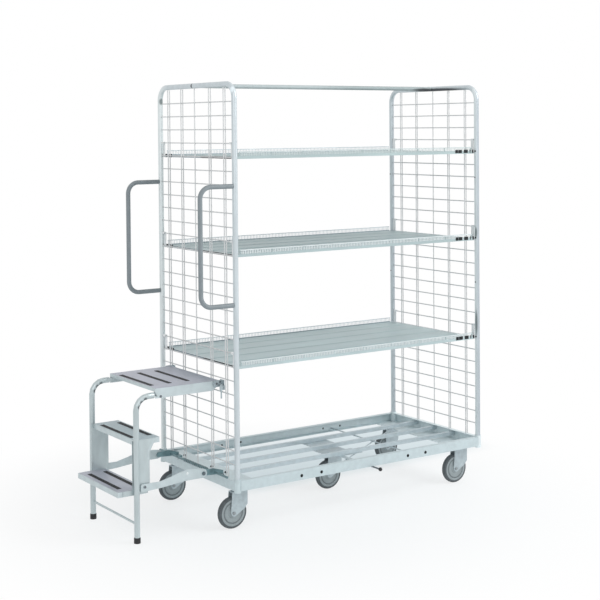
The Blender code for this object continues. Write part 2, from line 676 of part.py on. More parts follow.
for tag, way_x, way_y in (("front_left", -1, -1), ("front_right", 1, -1), ("back_left", -1, 1),
                          ("back_right", 1, 1)):
    pivot = (way_x * SWIVEL_X, way_y * SWIVEL_Y)
    plate_top = RAIL_LOW - GAP
    plate_low = plate_top - PLATE_THICK
    plate = put("castor_plate_" + tag,
                block((pivot[0] - PLATE_X, pivot[1] - PLATE_Y, plate_low),
                      (pivot[0] + PLATE_X, pivot[1] + PLATE_Y, plate_top)),
                material("zinc_plate_" + tag, ZINC_DARK, 0.45, 0.6))
    fuse(plate, rod("z", pivot, RACE_R * 1.12, RACE_TOP + GAP, plate_low + PLATE_THICK / 2, ROUND_FINE))
    cheek = [(x * TRAIL, z * CROWN_Z) for x, z in CHEEK_SHARES]
    made = fork(tag, pivot, cheek)
    fuse(made, rod("z", pivot, RACE_R, CROWN_Z - FORK_CROWN / 2, RACE_TOP, ROUND_FINE))
    wheel(tag, (pivot[0] - TRAIL, pivot[1], WHEEL_R))

centre = (CENTRE_PIVOT_X, 0.0)
made = fork("centre", centre, [(x * TRAIL, z * CROWN_Z) for x, z in CHEEK_SHARES])
fuse(made, rod("z", centre, RACE_R, CROWN_Z - FORK_CROWN / 2, RAIL_LOW - GAP, ROUND_FINE))
wheel("centre", (centre[0] - TRAIL, 0.0, WHEEL_R))

# castor lock linkage
def arm_outline(start, end, half, radius_steps=4):
    """Flat bar outline with round ends, from one point to another."""
    turn = atan2(end[1] - start[1], end[0] - start[0])
    outline = []
    for spot, first in ((end, turn - pi / 2), (start, turn + pi / 2)):
        for k in range(radius_steps * 2 + 1):
            here = first + pi * k / (radius_steps * 2)
            outline.append((spot[0] + half * cos(here), spot[1] + half * sin(here)))
    return outline


def slot(centre, turn, low, high):
    start = (centre[0] - SLOT_HALF * cos(turn), centre[1] - SLOT_HALF * sin(turn))
    end = (centre[0] + SLOT_HALF * cos(turn), centre[1] + SLOT_HALF * sin(turn))
    return prism("z", arm_outline(start, end, SLOT_R, 2), low, high)


knob_pin = (KNOB_ROD_X, CRANK[1])
arm_turn = atan2(LINK_START[1] - CRANK[1], LINK_START[0] - CRANK[0])
over = SLOT_HALF * 0.6
arm_one = (knob_pin[0] + over, knob_pin[1])
arm_two = (LINK_START[0] + over * cos(arm_turn), LINK_START[1] + over * sin(arm_turn))
crank = put("lock_crank", prism("z", arm_outline(CRANK, arm_one, CRANK_ARM), CRANK_LOW, CRANK_TOP),
            material("zinc_crank", ZINC_DARK, 0.4, 0.6), (CRANK[0], CRANK[1], CRANK_LOW))
fuse(crank, prism("z", arm_outline(CRANK, arm_two, CRANK_ARM), CRANK_LOW, CRANK_TOP))
cut(crank, rod("z", CRANK, CRANK_HOLE_R, CRANK_LOW - SHEET, CRANK_TOP + SHEET),
    slot(knob_pin, 0.0, CRANK_LOW - SHEET, CRANK_TOP + SHEET),
    slot(LINK_START, arm_turn, CRANK_LOW - SHEET, CRANK_TOP + SHEET))

pull = put("pull_rod",
           rod("y", (KNOB_ROD_X, KNOB_ROD_Z), KNOB_ROD_R, KNOB_Y + KNOB_R + GAP, CRANK[1] + CRANK_ARM),
           material("zinc_pull_rod", ZINC_DARK, 0.35, 0.6))
fuse(pull, rod("z", knob_pin, PIN_R, KNOB_ROD_Z, CRANK_TOP + GAP * 4))
ball = bmesh.new()
bmesh.ops.create_uvsphere(ball, u_segments=ROUND, v_segments=ROUND // 2, radius=KNOB_R)
bmesh.ops.translate(ball, verts=ball.verts, vec=(KNOB_ROD_X, KNOB_Y, KNOB_ROD_Z))
put("pull_knob", ball, material("black_knob", BLACK, 0.35, 0.0))

link_points = [Vector((LINK_START[0], LINK_START[1], LINK_Z)), Vector((LINK_END[0], LINK_END[1], LINK_Z))]
link = put("lock_rod", sweep(link_points, LINK_R, (0, 0, 1)), material("zinc_lock_rod", ZINC_DARK, 0.4, 0.6))
fuse(link, rod("z", LINK_START, PIN_R, CRANK_LOW - GAP * 2, LINK_Z))

# ladder: fixed parts
hinge_x, hinge_z = HINGE
flap_x, flap_z = FLAP
in_x, in_z = ARM_IN
out_x, out_z = ARM_OUT
ear_low = hinge_z - EAR_REACH
ear_high = hinge_z + EAR_REACH * 0.9
hinge = put("ladder_hinge", rod("y", HINGE, PIVOT_R, -EAR_Y - EAR_THICK / 2, EAR_Y + EAR_THICK / 2),
            material("zinc_hinge", ZINC_DARK, 0.4, 0.6))
for way in (-1, 1):
    ys = sorted((way * EAR_Y, way * (EAR_Y + EAR_THICK)))
    ear = [(EAR_BACK_X, ear_low), (EAR_BACK_X, ear_high), (hinge_x - PIVOT_R, ear_high),
           (hinge_x - PIVOT_R * 2.4, hinge_z + PIVOT_R), (hinge_x - PIVOT_R * 2.4, hinge_z - PIVOT_R),
           (hinge_x - PIVOT_R, ear_low)]
    foot_y = sorted((way * (EAR_Y - EAR_REACH), way * (EAR_Y + EAR_REACH * 1.1)))
    fuse(hinge, prism("y", ear, ys[0], ys[1]),
         block((EAR_BACK_X - EAR_PLATE, foot_y[0], ear_low + GAP), (EAR_BACK_X, foot_y[1], ear_high - GAP)),
         rod("y", HINGE, PIVOT_HEAD_R, ys[0] + (-PIVOT_HEAD if way < 0 else EAR_THICK / 2),
             ys[1] + (-EAR_THICK / 2 if way < 0 else PIVOT_HEAD)))
guide_back = block((LOCK_X, LOCK_Y - LOCK_GUIDE_R * 0.6, LOCK_GUIDE_Z[0] + GAP),
                   (EAR_BACK_X - GAP, LOCK_Y + LOCK_GUIDE_R * 0.6, LOCK_GUIDE_Z[1] - GAP))
fuse(hinge, guide_back, rod("z", (LOCK_X, LOCK_Y), LOCK_GUIDE_R, LOCK_GUIDE_Z[0], LOCK_GUIDE_Z[1]))
cut(hinge, rod("z", (LOCK_X, LOCK_Y), LOCK_GUIDE_BORE, LOCK_GUIDE_Z[0] - SHEET, LOCK_GUIDE_Z[1] + SHEET))

pin = put("lock_pin", rod("z", (LOCK_X, LOCK_Y), LOCK_R, LOCK_LOW, LOCK_TOP),
          material("zinc_lock_pin", ZINC_DARK, 0.35, 0.6))
fuse(pin, rod("z", (LOCK_X, LOCK_Y), LOCK_HEAD_R, LOCK_TOP - LOCK_HEAD, LOCK_TOP + GAP))

carrier = put("arm_carrier", rod("y", SPRING_ROD, SPRING_ROD_R, -SPRING_ROD_Y, SPRING_ROD_Y),
              material("zinc_carrier", ZINC_DARK, 0.4, 0.6))
cheek = [outward(pair) for pair in CARRIER_OUTLINE]
pad_x = (-rail_x + GAP, RAIL_WIDE - rail_x - GAP)
for way in (-1, 1):
    ys = sorted((way * CARRIER_Y, way * (CARRIER_Y + CARRIER_THICK)))
    pad_y = sorted((way * (CARRIER_Y - CARRIER_PAD), way * (CARRIER_Y + CARRIER_THICK / 2)))
    pivot_y = sorted((way * (CARRIER_Y + CARRIER_THICK / 2), way * (ARM_Y + ARM_THICK + PIVOT_HEAD / 2)))
    head_y = sorted((way * (ARM_Y + ARM_THICK + GAP), way * (ARM_Y + ARM_THICK + PIVOT_HEAD)))
    fuse(carrier, prism("y", cheek, ys[0], ys[1]),
         block((pad_x[0], pad_y[0], RAIL_TOP + GAP), (pad_x[1], pad_y[1], CARRIER_OUTLINE[0][1] + SHEET)),
         rod("y", ARM_IN, PIVOT_R, pivot_y[0], pivot_y[1]),
         rod("y", ARM_IN, PIVOT_HEAD_R, head_y[0], head_y[1]))

spring_points = []
spring_steps = SPRING_TURNS * COIL_STEPS
for k in range(spring_steps + 1):
    share = k / spring_steps
    turn = 2 * pi * SPRING_TURNS * share + pi / 2
    spring_points.append(Vector((SPRING_ROD[0] + SPRING_R * cos(turn),
                                 SPRING_Y[0] + (SPRING_Y[1] - SPRING_Y[0]) * share,
                                 SPRING_ROD[1] + SPRING_R * sin(turn))))
coil_points = list(spring_points)
spring_points.append(spring_points[-1] + Vector((-SPRING_LEG, 0.0, 0.0)))
put("lift_spring", sweep(spring_points, SPRING_WIRE_R, (0, 1, 0), 4),
    material("spring_steel", ZINC_DARK, 0.4, 0.7))

# least gap of the coil to itself, between points more than half a turn apart
least = SPRING_LEG
for i, one in enumerate(coil_points):
    for two in coil_points[i + COIL_STEPS // 2 + 1:]:
        least = min(least, (one - two).length - 2 * SPRING_WIRE_R)
print("spring: least gap to itself %.2f mm" % (least * 1000))

# ladder: platform
ladder_steel = material("galvanised_platform", ZINC, 0.45, 0.5)
plat_low = PLATFORM_TOP - PLATFORM_DROP
platform = put("ladder_platform",
               block((PLATFORM_X[0], -PLATFORM_Y, PLATFORM_TOP - LADDER_SHEET),
                     (PLATFORM_X[1], PLATFORM_Y, PLATFORM_TOP)),
               ladder_steel, (hinge_x, 0.0, hinge_z))
side_in = PLATFORM_Y - LADDER_SHEET
for way in (-1, 1):
    ys = sorted((way * side_in, way * PLATFORM_Y))
    flange = [(PLATFORM_X[0] + GAP, plat_low), (PLATFORM_X[0] + GAP, PLATFORM_TOP - GAP),
              (PLATFORM_X[1] - GAP, PLATFORM_TOP - GAP), (PLATFORM_X[1] - GAP, hinge_z - PIVOT_HEAD_R),
              (hinge_x - PIVOT_HEAD_R * 2, plat_low)]
    bolt_y = sorted((way * (TONGUE_Y - GAP * 6), way * (PLATFORM_Y + GAP * 6)))
    fuse(platform, prism("y", flange, ys[0], ys[1]), rod("y", FLAP, PIVOT_R, bolt_y[0], bolt_y[1]))
fuse(platform, block((PLATFORM_X[0], GAP - PLATFORM_Y, PLATFORM_TOP - PLATFORM_NOSE),
                     (PLATFORM_X[0] + LADDER_SHEET, PLATFORM_Y - GAP, PLATFORM_TOP - GAP)))
for way in (-1, 1):
    ys = sorted((way * (side_in - SHEET), way * (PLATFORM_Y + SHEET)))
    cut(platform, rod("y", HINGE, PIVOT_BORE_R, ys[0], ys[1]))


# ladder: leg frame
def tread(name, span):
    """Folded step: a flat top with four flanges turned down."""
    start, end, top = span
    made = put(name, block((start, -STEP_HALF_Y, top - STEP_DROP), (end, STEP_HALF_Y, top)),
               material("galvanised_" + name, ZINC, 0.45, 0.5), (flap_x, 0.0, flap_z))
    cut(made, block((start + LADDER_SHEET, LADDER_SHEET - STEP_HALF_Y, top - STEP_DROP - SHEET),
                    (end - LADDER_SHEET, STEP_HALF_Y - LADDER_SHEET, top - LADDER_SHEET)))


tread("ladder_step_middle", STEP_MID)
tread("ladder_step_low", STEP_LOW)

side_low = STEP_LOW[2] - STEP_DROP + GAP * 3
side_high = STEP_MID[2] - GAP * 3
side_curve = [outward(pair) for pair in SIDE_CURVE]
side_profile = [(STEP_LOW[0] + SIDE_TOE, side_low), (side_curve[0][0], side_low)]
side_profile += side_curve
side_profile += [(side_curve[-1][0], side_high), (LEG_X - TUBE_R, side_high), (LEG_X - TUBE_R, STEP_LOW[2]),
                 (STEP_LOW[0] + SIDE_TOE, STEP_LOW[2])]
for side, way in (("front", -1), ("back", 1)):
    path = rounded(((LEG_END_X, way * LEG_Y, LEG_TOP_Z), (LEG_X, way * LEG_Y, LEG_TOP_Z),
                    (LEG_X, way * LEG_Y, FOOT_UP + GAP)), LEG_BEND)
    leg = put("ladder_leg_" + side, sweep(path, TUBE_R, (0, 1, 0), ROUND_FINE),
              material("galvanised_leg_" + side, ZINC, 0.38, 0.55), (flap_x, way * LEG_Y, flap_z))
    tongue_root = LEG_END_X - TUBE_R
    tongue = [(tongue_root, flap_z - TONGUE_HALF), (tongue_root, flap_z + TONGUE_HALF * 0.85)]
    for share_x, share_z in TONGUE_SHARES:
        tongue.append((flap_x + TONGUE_HALF * share_x, flap_z + TONGUE_HALF * share_z))
    ys = sorted((way * TONGUE_Y, way * (TONGUE_Y + TONGUE_THICK)))
    side_ys = sorted((way * SIDE_Y, way * (SIDE_Y + SIDE_THICK)))
    weld = sorted((way * (SIDE_Y + SIDE_THICK / 2), way * (LEG_Y - TUBE_R / 2)))
    pivot_y = sorted((way * (SIDE_Y + SIDE_THICK / 2), way * (ARM_Y + ARM_THICK + PIVOT_HEAD)))
    fuse(leg, prism("y", tongue, ys[0], ys[1]), prism("y", side_profile, side_ys[0], side_ys[1]),
         block((LEG_X - TUBE_R * 0.5, weld[0], STEP_MID[2] - STEP_DROP * 2.2),
               (LEG_X + TUBE_R * 0.5, weld[1], STEP_MID[2] - STEP_DROP * 0.6)),
         block((LEG_X - TUBE_R * 0.5, weld[0], STEP_LOW[2] - STEP_DROP * 0.8),
               (LEG_X + TUBE_R * 0.5, weld[1], STEP_LOW[2] + STEP_DROP * 0.6)),
         rod("y", ARM_OUT, PIVOT_R, pivot_y[0], pivot_y[1]))
    if way < 0:
        fuse(leg, rod("y", (LEG_X, TIE_Z), TIE_R, -LEG_Y, LEG_Y - TUBE_R - GAP))
    bore_y = sorted((way * (TONGUE_Y - SHEET), way * (TONGUE_Y + TONGUE_THICK + SHEET)))
    cut(leg, rod("y", FLAP, PIVOT_BORE_R, bore_y[0], bore_y[1]))
    put("ladder_foot_" + side, rod("z", (LEG_X, way * LEG_Y), FOOT_R, 0.0, FOOT_UP, ROUND_FINE),
        material("black_rubber_foot_" + side, BLACK, 0.8, 0.0), (flap_x, way * LEG_Y, flap_z))

# ladder: lower arms
for side, way in (("front", -1), ("back", 1)):
    ys = sorted((way * ARM_Y, way * (ARM_Y + ARM_THICK)))
    arm = put("ladder_arm_" + side, prism("y", ARM_PROFILE, ys[0], ys[1]),
              material("galvanised_arm_" + side, ZINC, 0.45, 0.5), (in_x, way * ARM_Y, in_z))
    for spot, radius in ((ARM_IN, PIVOT_BORE_R), (ARM_OUT, PIVOT_BORE_R), (ARM_HOLE, ARM_HOLE_R)):
        cut(arm, rod("y", spot, radius, ys[0] - SHEET, ys[1] + SHEET))
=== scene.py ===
"""Looks of the order picking trolley: finishes, fine wire, bolts, grip strips, camera and light."""
import bpy
import bmesh
from math import cos, pi, radians, sin, tan
from mathutils import Matrix, Vector


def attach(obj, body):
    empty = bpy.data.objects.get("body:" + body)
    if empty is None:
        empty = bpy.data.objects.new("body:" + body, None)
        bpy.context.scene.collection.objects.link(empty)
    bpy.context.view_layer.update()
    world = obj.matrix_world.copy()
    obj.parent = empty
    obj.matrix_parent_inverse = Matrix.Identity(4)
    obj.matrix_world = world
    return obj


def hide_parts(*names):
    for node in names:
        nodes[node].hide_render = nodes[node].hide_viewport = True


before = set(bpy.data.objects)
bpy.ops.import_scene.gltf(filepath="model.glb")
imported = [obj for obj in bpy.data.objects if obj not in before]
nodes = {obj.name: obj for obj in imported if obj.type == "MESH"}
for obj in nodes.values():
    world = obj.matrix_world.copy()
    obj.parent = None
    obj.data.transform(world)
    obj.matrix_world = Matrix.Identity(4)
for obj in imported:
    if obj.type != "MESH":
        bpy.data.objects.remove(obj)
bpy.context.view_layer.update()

# Sizes and places, in metres, laid out from the floor point under the middle of the four posts
SHIFT = Vector((0.21459, 0.02263, 0.0))     # where that point is in the part's own frame
GAP = 0.0003                                # keeps two faces apart
FRONT_BACK = (("front", -1), ("back", 1))
LEFT_RIGHT = (("left", -1), ("right", 1))

# End frames, base rails, top bar and push handles
HX = 0.6075               # middle of the posts
HY = 0.2925
TUBE_R = 0.011
TUBE_LOOK_R = 0.0105      # drawn with more sides than the CAD tube, so inside it
HOOP_Z = 1.701
HOOP_BEND = 0.055
POST_FOOT_Z = 0.155
TOP_BAR_R = 0.0087
RAIL_TOP = 0.196
RAIL_FACE = 0.3045
WIRE_R = 0.00225
WIRE_COUNT = 27
WIRE_FIRST_Z = 0.252
WIRE_PITCH = 0.0531692
WIRES_APART = 1.94        # wire radii from the middle of a wire to that of one welded across it
UPRIGHT_PITCH = 0.110
UPRIGHT_PAIRS = 2         # pairs of uprights on each side of the single middle one
HANDLE_R = 0.009
HANDLE_OUT = 0.7595
HANDLE_LOW = 0.864
HANDLE_TOP = 1.314
HANDLE_BEND = 0.045

# Shelves
SHELF_HALF_X = 0.5955
SHELF_HALF_Y = 0.2860
SHELF_WIRES = {"low": 7, "middle": 15, "top": 22}     # the cross wire at each deck
SHELF_UP = 0.0025
SHELF_DECKS = {name: WIRE_FIRST_Z + WIRE_PITCH * wire + SHELF_UP for name, wire in SHELF_WIRES.items()}
SHELF_DROP = 0.0083
FOLD_SHARES = (0.6, 0.5)                    # of the drop, where the end's fold turns out
FLANGE_LAP_Y = -0.022                       # where a flange's front stretch ends, on its long one
FENCE_HALF = 0.583
FENCE_UP = 0.0195
FENCE_BAR = 0.0028
FENCE_WIRE_R = 0.0014
TOOTH_PITCH = 0.0076
TOOTH_WIDE = 0.0016
FRONT_TOOTH_SHARE = 1.6                     # width of a front tooth in back teeth
HOOK_Y = (0.262, 0.278)
HOOK_FACE_X = 0.60245
BEAD_HALVES = (0.003, 0.002)                # the pale bead on a hook, at its root and on top
BEAD_FOOT = 0.002
# black dashes of painted shadow on the shelves' lips
DASH_DOWN = 0.0048
DASH_UP = 0.0092
DASH_THICK = 0.0006
DASH_NIP = GAP * 3                          # chamfer of a dash's corners
# spans of the dashes, along the front lip and across the left end
FRONT_DASHES = ((0.493, 0.5075), (0.5095, 0.530), (0.541, 0.563), (0.574, 0.578), (0.588, 0.5952))
END_DASHES = ((0.218, 0.240), (0.258, 0.2855))
END_DASH_DROP = 0.004

# Wheels; the profiles are for one side, as (radius, distance from the wheel's middle plane)
WHEEL_R = 0.0615
TYRE_IN = 0.0515
SWIVEL_X = 0.5595
SWIVEL_Y = 0.2375
TRAIL = 0.0405
MID_TRAIL = 0.021
AXLE_OUT = 0.0148
NUT_R = 0.0070
NUT_THICK = 0.0035
NUT_EDGE = 0.0008
TYRE_HALF = ((TYRE_IN + GAP, 0.0110), (0.0562, 0.0106), (0.0594, 0.0087), (0.0610, 0.0055),
             (WHEEL_R, 0.0022))
RIM_HALF = ((TYRE_IN, 0.0104), (0.0505, 0.0108), (0.0435, 0.0108), (0.0425, 0.0092), (0.0375, 0.0088),
            (0.0365, 0.0104), (0.0345, 0.0104), (0.0335, 0.0090), (0.0205, 0.0088), (0.0195, 0.0104),
            (0.0150, 0.0112), (0.0135, 0.0118), (0.0052, 0.0118))
RIM_BAND = ((0.0368, 0.0089), (0.0368, 0.0094), (0.0400, 0.0098), (0.0424, 0.0094), (0.0424, 0.0089))
AXLE_CAP = ((0.0052, 0.0119), (0.0052, 0.0121), (0.0095, 0.0121), (0.0105, 0.0119))

# Ladder and knob
LEG_X = -0.980
LEG_Y = 0.188
LEG_TOP_Z = 0.541
LEG_BEND = 0.050
KNEE_R = LEG_BEND - 0.0065                  # where the shade in a leg's bend lies
FOOT_R = 0.0128
FOOT_UP = 0.021
FOOT_EDGE = 0.0015
FOOT_SOLE = (0.94, 0.98)                    # shares of the radius below and above its edge
# groove and rim of a foot, as shares of its radius and height
FOOT_SHAPE = ((0.98, 0.45), (0.93, 0.5), (0.98, 0.55), (0.97, 0.93), (0.90, 1.0))
FOOT_CORE = 0.0005
PLATFORM_TOP = 0.565
MIDDLE_TOP = 0.379
LOW_TOP = 0.195
# the treads' top layers, coloured with a painted reflection: spans along X, and half their widths
PLATFORM_SPAN = (-0.9000, -0.6240)
MIDDLE_SPAN = (-0.9800, -0.8750)
LOW_SPAN = (-1.0500, -0.9330)
PLATFORM_HALF = 0.1880
STEP_HALF = 0.1700
SKIN_INSETS = (0.002, 0.003)                # of a top layer's lower and upper edge
# the middles of the grip strips, along X
PLATFORM_STRIPS = (-0.882, -0.805, -0.727)
MIDDLE_STRIPS = (-0.966, -0.893)
LOW_STRIPS = (-1.022, -0.955)
STRIP_HALF = 0.130
STRIP_WIDE = 0.017
STRIP_UP = 0.0016
STRIP_BASE = 0.6                            # share of the height that lies under the ribs
STRIP_RIBS = 6
RIB_SPAN = (0.15, 0.85)                     # of a rib's share of the width
KNOB = (0.037, -0.343, 0.1515)
KNOB_R = 0.0080

# Small hardware: places on the back half as (x, y, z) or (x, z), and sizes as (radius, height)
PLATFORM_BOLTS = ((-0.894, 0.541), (-0.877, 0.5335))
PLATFORM_SIDE = 0.1901
PLATFORM_BOLT = (0.0042, 0.0016)
ARM_RIVET_AT = (-0.7625, 0.1830, 0.2245)
ARM_RIVET = (0.0052, 0.0016)
HINGE_BOLT_AT = (-0.692, 0.1861, 0.214)
HINGE_BOLT = (0.0046, 0.0016)
PLATE_BOLTS = ((-0.640, 0.1996, 0.555), (-0.6235, 0.1966, 0.5600), (-0.6235, 0.1966, 0.5470))
PLATE_INNER_SIDE = 0.1934
PLATE_BOLT = (0.0036, 0.0014)
BASE_BOLT_AT = (-0.609, 0.1865, 0.1961)
BASE_BOLT = (0.0046, 0.0040)
LEG_PIVOT_AT = (-0.944, 0.1861, 0.202)
LEG_PIVOT = (0.0048, 0.0010)
FOLD_BAND = ((-0.8960, 0.3735), (-0.9085, 0.350), (-0.9220, 0.324), (-0.9220, 0.302),
             (-0.9285, 0.302), (-0.9285, 0.328), (-0.9190, 0.350), (-0.9085, 0.3735))
FOLD_SIDES = (0.1753, 0.1757)
RAIL_PLUGS_X = (-0.321, -0.226, 0.211, 0.305)
RAIL_PLUGS_Z = 0.1735
# the inner domes behind the rail holes are painted shade
RAIL_SHADE_IN = 0.0012
RAIL_PLUG_OUTER = (0.0064, 0.0008)
RAIL_SHADE_INNER = (0.0046, 0.0008)
END_PLUGS_X = -0.570
END_PLUGS_Y = (-0.1451, -0.0360, 0.1831)
END_PLUGS_Z = 0.1902
END_PLUG = (0.0062, 0.0052)
POST_PLUG_IN = 0.0090
POST_PLUG = (0.0036, 0.0018)
# spots of painted shade on the front right post at each deck
DECK_SHADE_SPOT_IN = (0.0085, 0.0015)
DECK_SHADE_SPOT_UP = 0.0025
DECK_SHADE_SPOT = (0.0045, 0.0027)
DOME = ((1.0, 0.0), (1.0, 0.35), (0.82, 0.75), (0.45, 0.97))     # shares of radius and height
DOME_CORE = 0.0001
WASHER = (1.25, 0.25)                       # shares of a bolt's radius and height
BOLT_SIDES = 6
BOLT_TURN = 0.3

# Fineness of the meshes
ROUND = 24
ROUND_WIRE = 10
ROUND_PLUG = 16
ROUND_FOOT = 32
ROUND_WHEEL = 72
ROUND_CAP = 48
KNOB_SEGMENTS = (32, 20)
BEND_STEPS = 12
SMOOTH_BELOW = radians(32)
BEVEL_ABOVE = radians(40)

# Camera, solved from the photo; the two shares are of the picture's side in pixels
CAMERA_AT = Vector((-3.1775, -4.4992, 1.5295))
YAW = 0.5971
PITCH = 0.0250
ROLL = -0.0079
PICTURE = 600
FOCAL_SHARE = 1307.10 / PICTURE
CENTRE_SHARE = (298.29 / PICTURE, 161.19 / PICTURE)
SENSOR = 36.0
FAR = 100


def make_camera():
    """Camera from its place, its turns, its focal length and the picture's off-centre point."""
    ahead = Vector((sin(YAW) * cos(PITCH), cos(YAW) * cos(PITCH), -sin(PITCH)))
    right = Vector((cos(YAW), -sin(YAW), 0.0))
    up = right.cross(ahead)
    rolled_right = right * cos(ROLL) + up * sin(ROLL)
    rolled_up = up * cos(ROLL) - right * sin(ROLL)
    data = bpy.data.cameras.new("view")
    data.sensor_width = SENSOR
    data.lens = SENSOR * FOCAL_SHARE
    data.shift_x = 0.5 - CENTRE_SHARE[0]
    data.shift_y = CENTRE_SHARE[1] - 0.5
    data.clip_end = FAR
    made = bpy.data.objects.new("view", data)
    turn = Matrix((rolled_right, rolled_up, -ahead)).transposed()
    made.matrix_world = Matrix.Translation(CAMERA_AT + SHIFT) @ turn.to_4x4()
    bpy.context.scene.collection.objects.link(made)
    bpy.context.scene.camera = made


make_camera()

# What all finishes share
PATCH_DETAIL = 3.0
GRAIN = 900.0
GRAIN_DETAIL = 2.0
RAMP_ENDS = (0.3, 0.7)
TONE_EDGE = 0.6           # share of an ellipsoid's depth over which its tone sets in


# Shader nodes
def feed(tree, entry, value):
    """Link an output to a node's entry, or set the entry to a value."""
    if isinstance(value, bpy.types.NodeSocket):
        tree.links.new(value, entry)
    else:
        entry.default_value = value


def maths(tree, operation, *values, clamp=False):
    """Result of a sum on outputs and numbers."""
    made = tree.nodes.new("ShaderNodeMath")
    made.operation = operation
    made.use_clamp = clamp
    for entry, value in zip(made.inputs, values):
        feed(tree, entry, value)
    return made.outputs["Value"]


def remap(tree, value, span, result, smooth=False):
    """Value carried from one span to another, and held at its ends."""
    made = tree.nodes.new("ShaderNodeMapRange")
    if smooth:
        made.interpolation_type = "SMOOTHSTEP"
    for entry, number in zip(("From Min", "From Max", "To Min", "To Max"), (*span, *result)):
        made.inputs[entry].default_value = number
    tree.links.new(value, made.inputs["Value"])
    return made.outputs["Result"]


def mixed(tree, factor, first, second, blend="MIX"):
    """Mix of two colours by a factor."""
    made = tree.nodes.new("ShaderNodeMix")
    made.data_type = "RGBA"
    made.blend_type = blend
    for entry, value in (("Factor", factor), ("A", first), ("B", second)):
        feed(tree, made.inputs[entry], value)
    return made.outputs["Result"]


def noise(tree, scale, detail, source, stretch=None):
    """Noise texture on object coordinates, stretched if asked."""
    made = tree.nodes.new("ShaderNodeTexNoise")
    made.inputs["Scale"].default_value = scale
    made.inputs["Detail"].default_value = detail
    if stretch:
        mapping = tree.nodes.new("ShaderNodeMapping")
        mapping.inputs["Scale"].default_value = stretch
        tree.links.new(source, mapping.inputs["Vector"])
        source = mapping.outputs["Vector"]
    tree.links.new(source, made.inputs["Vector"])
    return made.outputs["Fac"]


def ramp(tree, source, low, high):
    """Colour between a low and a high one, from a noise value."""
    made = tree.nodes.new("ShaderNodeValToRGB")
    for element, at, colour in zip(made.color_ramp.elements, RAMP_ENDS, (low, high)):
        element.position = at
        element.color = (*colour, 1.0)
    tree.links.new(source, made.inputs["Fac"])
    return made.outputs["Color"]


# Finishes
def shader_material(name):
    """New material, with its node tree and its main shader."""
    made = bpy.data.materials.new(name)
    made.use_nodes = True
    return made, made.node_tree, made.node_tree.nodes["Principled BSDF"]


def scaled(colour, by):
    """Colour times a factor, held at 1."""
    return tuple(min(1.0, part * by) for part in colour)


def toned(tree, place, colour, tone):
    """Colour multiplied by a tone inside a soft ellipsoid, to paint light or shade: (centre, radii,
    multiplier).
    """
    centre, radii, by = tone
    mapping = tree.nodes.new("ShaderNodeMapping")
    mapping.inputs["Scale"].default_value = [1 / r for r in radii]
    mapping.inputs["Location"].default_value = [-(c + s) / r for c, s, r in zip(centre, SHIFT, radii)]
    tree.links.new(place, mapping.inputs["Vector"])
    ball = tree.nodes.new("ShaderNodeTexGradient")
    ball.gradient_type = "SPHERICAL"
    tree.links.new(mapping.outputs["Vector"], ball.inputs["Vector"])
    edge = remap(tree, ball.outputs["Fac"], (0.0, TONE_EDGE), (0.0, 1.0), smooth=True)
    return mixed(tree, edge, colour, (*by, 1.0), "MULTIPLY")


def surface(name, colour, roughness, metallic, spread=0.06, patch=45.0, bump=0.05, stretch=None,
            rough_spread=0.08, tones=()):
    """Finish with patches of slightly different colour, painted light and shade from the tones, a fine
    grain and a shallow bump.
    """
    made, tree, shader = shader_material(name)
    place = tree.nodes.new("ShaderNodeTexCoord").outputs["Object"]
    patches = noise(tree, patch, PATCH_DETAIL, place, stretch)
    shade = ramp(tree, patches, scaled(colour, 1 - spread), scaled(colour, 1 + spread))
    for tone in tones:
        shade = toned(tree, place, shade, tone)
    rough = remap(tree, patches, (0.0, 1.0), (roughness - rough_spread, roughness + rough_spread))
    relief = tree.nodes.new("ShaderNodeBump")
    relief.inputs["Strength"].default_value = bump
    relief.inputs["Distance"].default_value = GAP
    tree.links.new(noise(tree, GRAIN, GRAIN_DETAIL, place, stretch), relief.inputs["Height"])
    shader.inputs["Metallic"].default_value = metallic
    tree.links.new(shade, shader.inputs["Base Color"])
    tree.links.new(rough, shader.inputs["Roughness"])
    tree.links.new(relief.outputs["Normal"], shader.inputs["Normal"])
    return made


# Painted light and shade, where a spot or a side is darker or paler than the rest: (centre, radii,
# multiplier)
DARK = (0.10, 0.10, 0.11)
DUSK = (0.33, 0.36, 0.36)
TUBE_LIGHT_AND_SHADE = [
    # painted light on the back left post, a painted dark reflection under the right hoop's top, and
    # painted shade on the left hoop's outer side
    ((-HX, HY, 0.85), (0.06, 0.09, 2.4), (1.23, 1.20, 1.16)),
    ((HX - 0.004, -0.06, HOOP_Z - 0.006), (0.016, 0.23, 0.013), DARK),
    ((-HX - 0.008, 0.015, HOOP_Z), (0.014, 0.007, 0.014), DARK),
    # painted shade and a painted highlight in the left hoop's bends
    ((-HX, HY - 0.0115, 1.644), (0.020, 0.009, 0.018), DUSK),
    ((-HX - 0.004, 0.0055 - HY, 1.675), (0.012, 0.012, 0.020), (1.5, 1.5, 1.5)),
    # painted shade on stretches of the front right and back left posts, at the heights of the decks
    ((HX - 0.0105, -HY - 0.005, 1.077), (0.008, 0.008, 0.033), DUSK),
    ((HX - 0.0105, -HY - 0.005, 0.687), (0.008, 0.008, 0.079), DUSK),
    ((0.009 - HX, HY - 0.007, 1.090), (0.008, 0.008, 0.060), DUSK),
    # painted shade on the outer sides of the two right posts, and a painted highlight on the inner
    # side of the front right one
    ((HX + 0.0091, -HY - 0.0062, 0.9), (0.020, 0.020, 9.0), (0.74, 0.75, 0.78)),
    ((HX - 0.0091, 0.0062 - HY, 0.9), (0.014, 0.014, 9.0), (1.22, 1.20, 1.17)),
    ((HX + 0.0091, HY - 0.0062, 0.9), (0.018, 0.018, 9.0), (0.70, 0.71, 0.73))]
# painted dark reflection at the top tube's right end, and painted shade along its middle
TOP_TUBE_SHADE = [((0.56, 0.0, HOOP_Z - 0.004), (0.10, 0.02, 0.012), DARK),
             ((0.30, 0.0, HOOP_Z), (0.40, 0.03, 0.03), (0.75, 0.78, 0.78))]
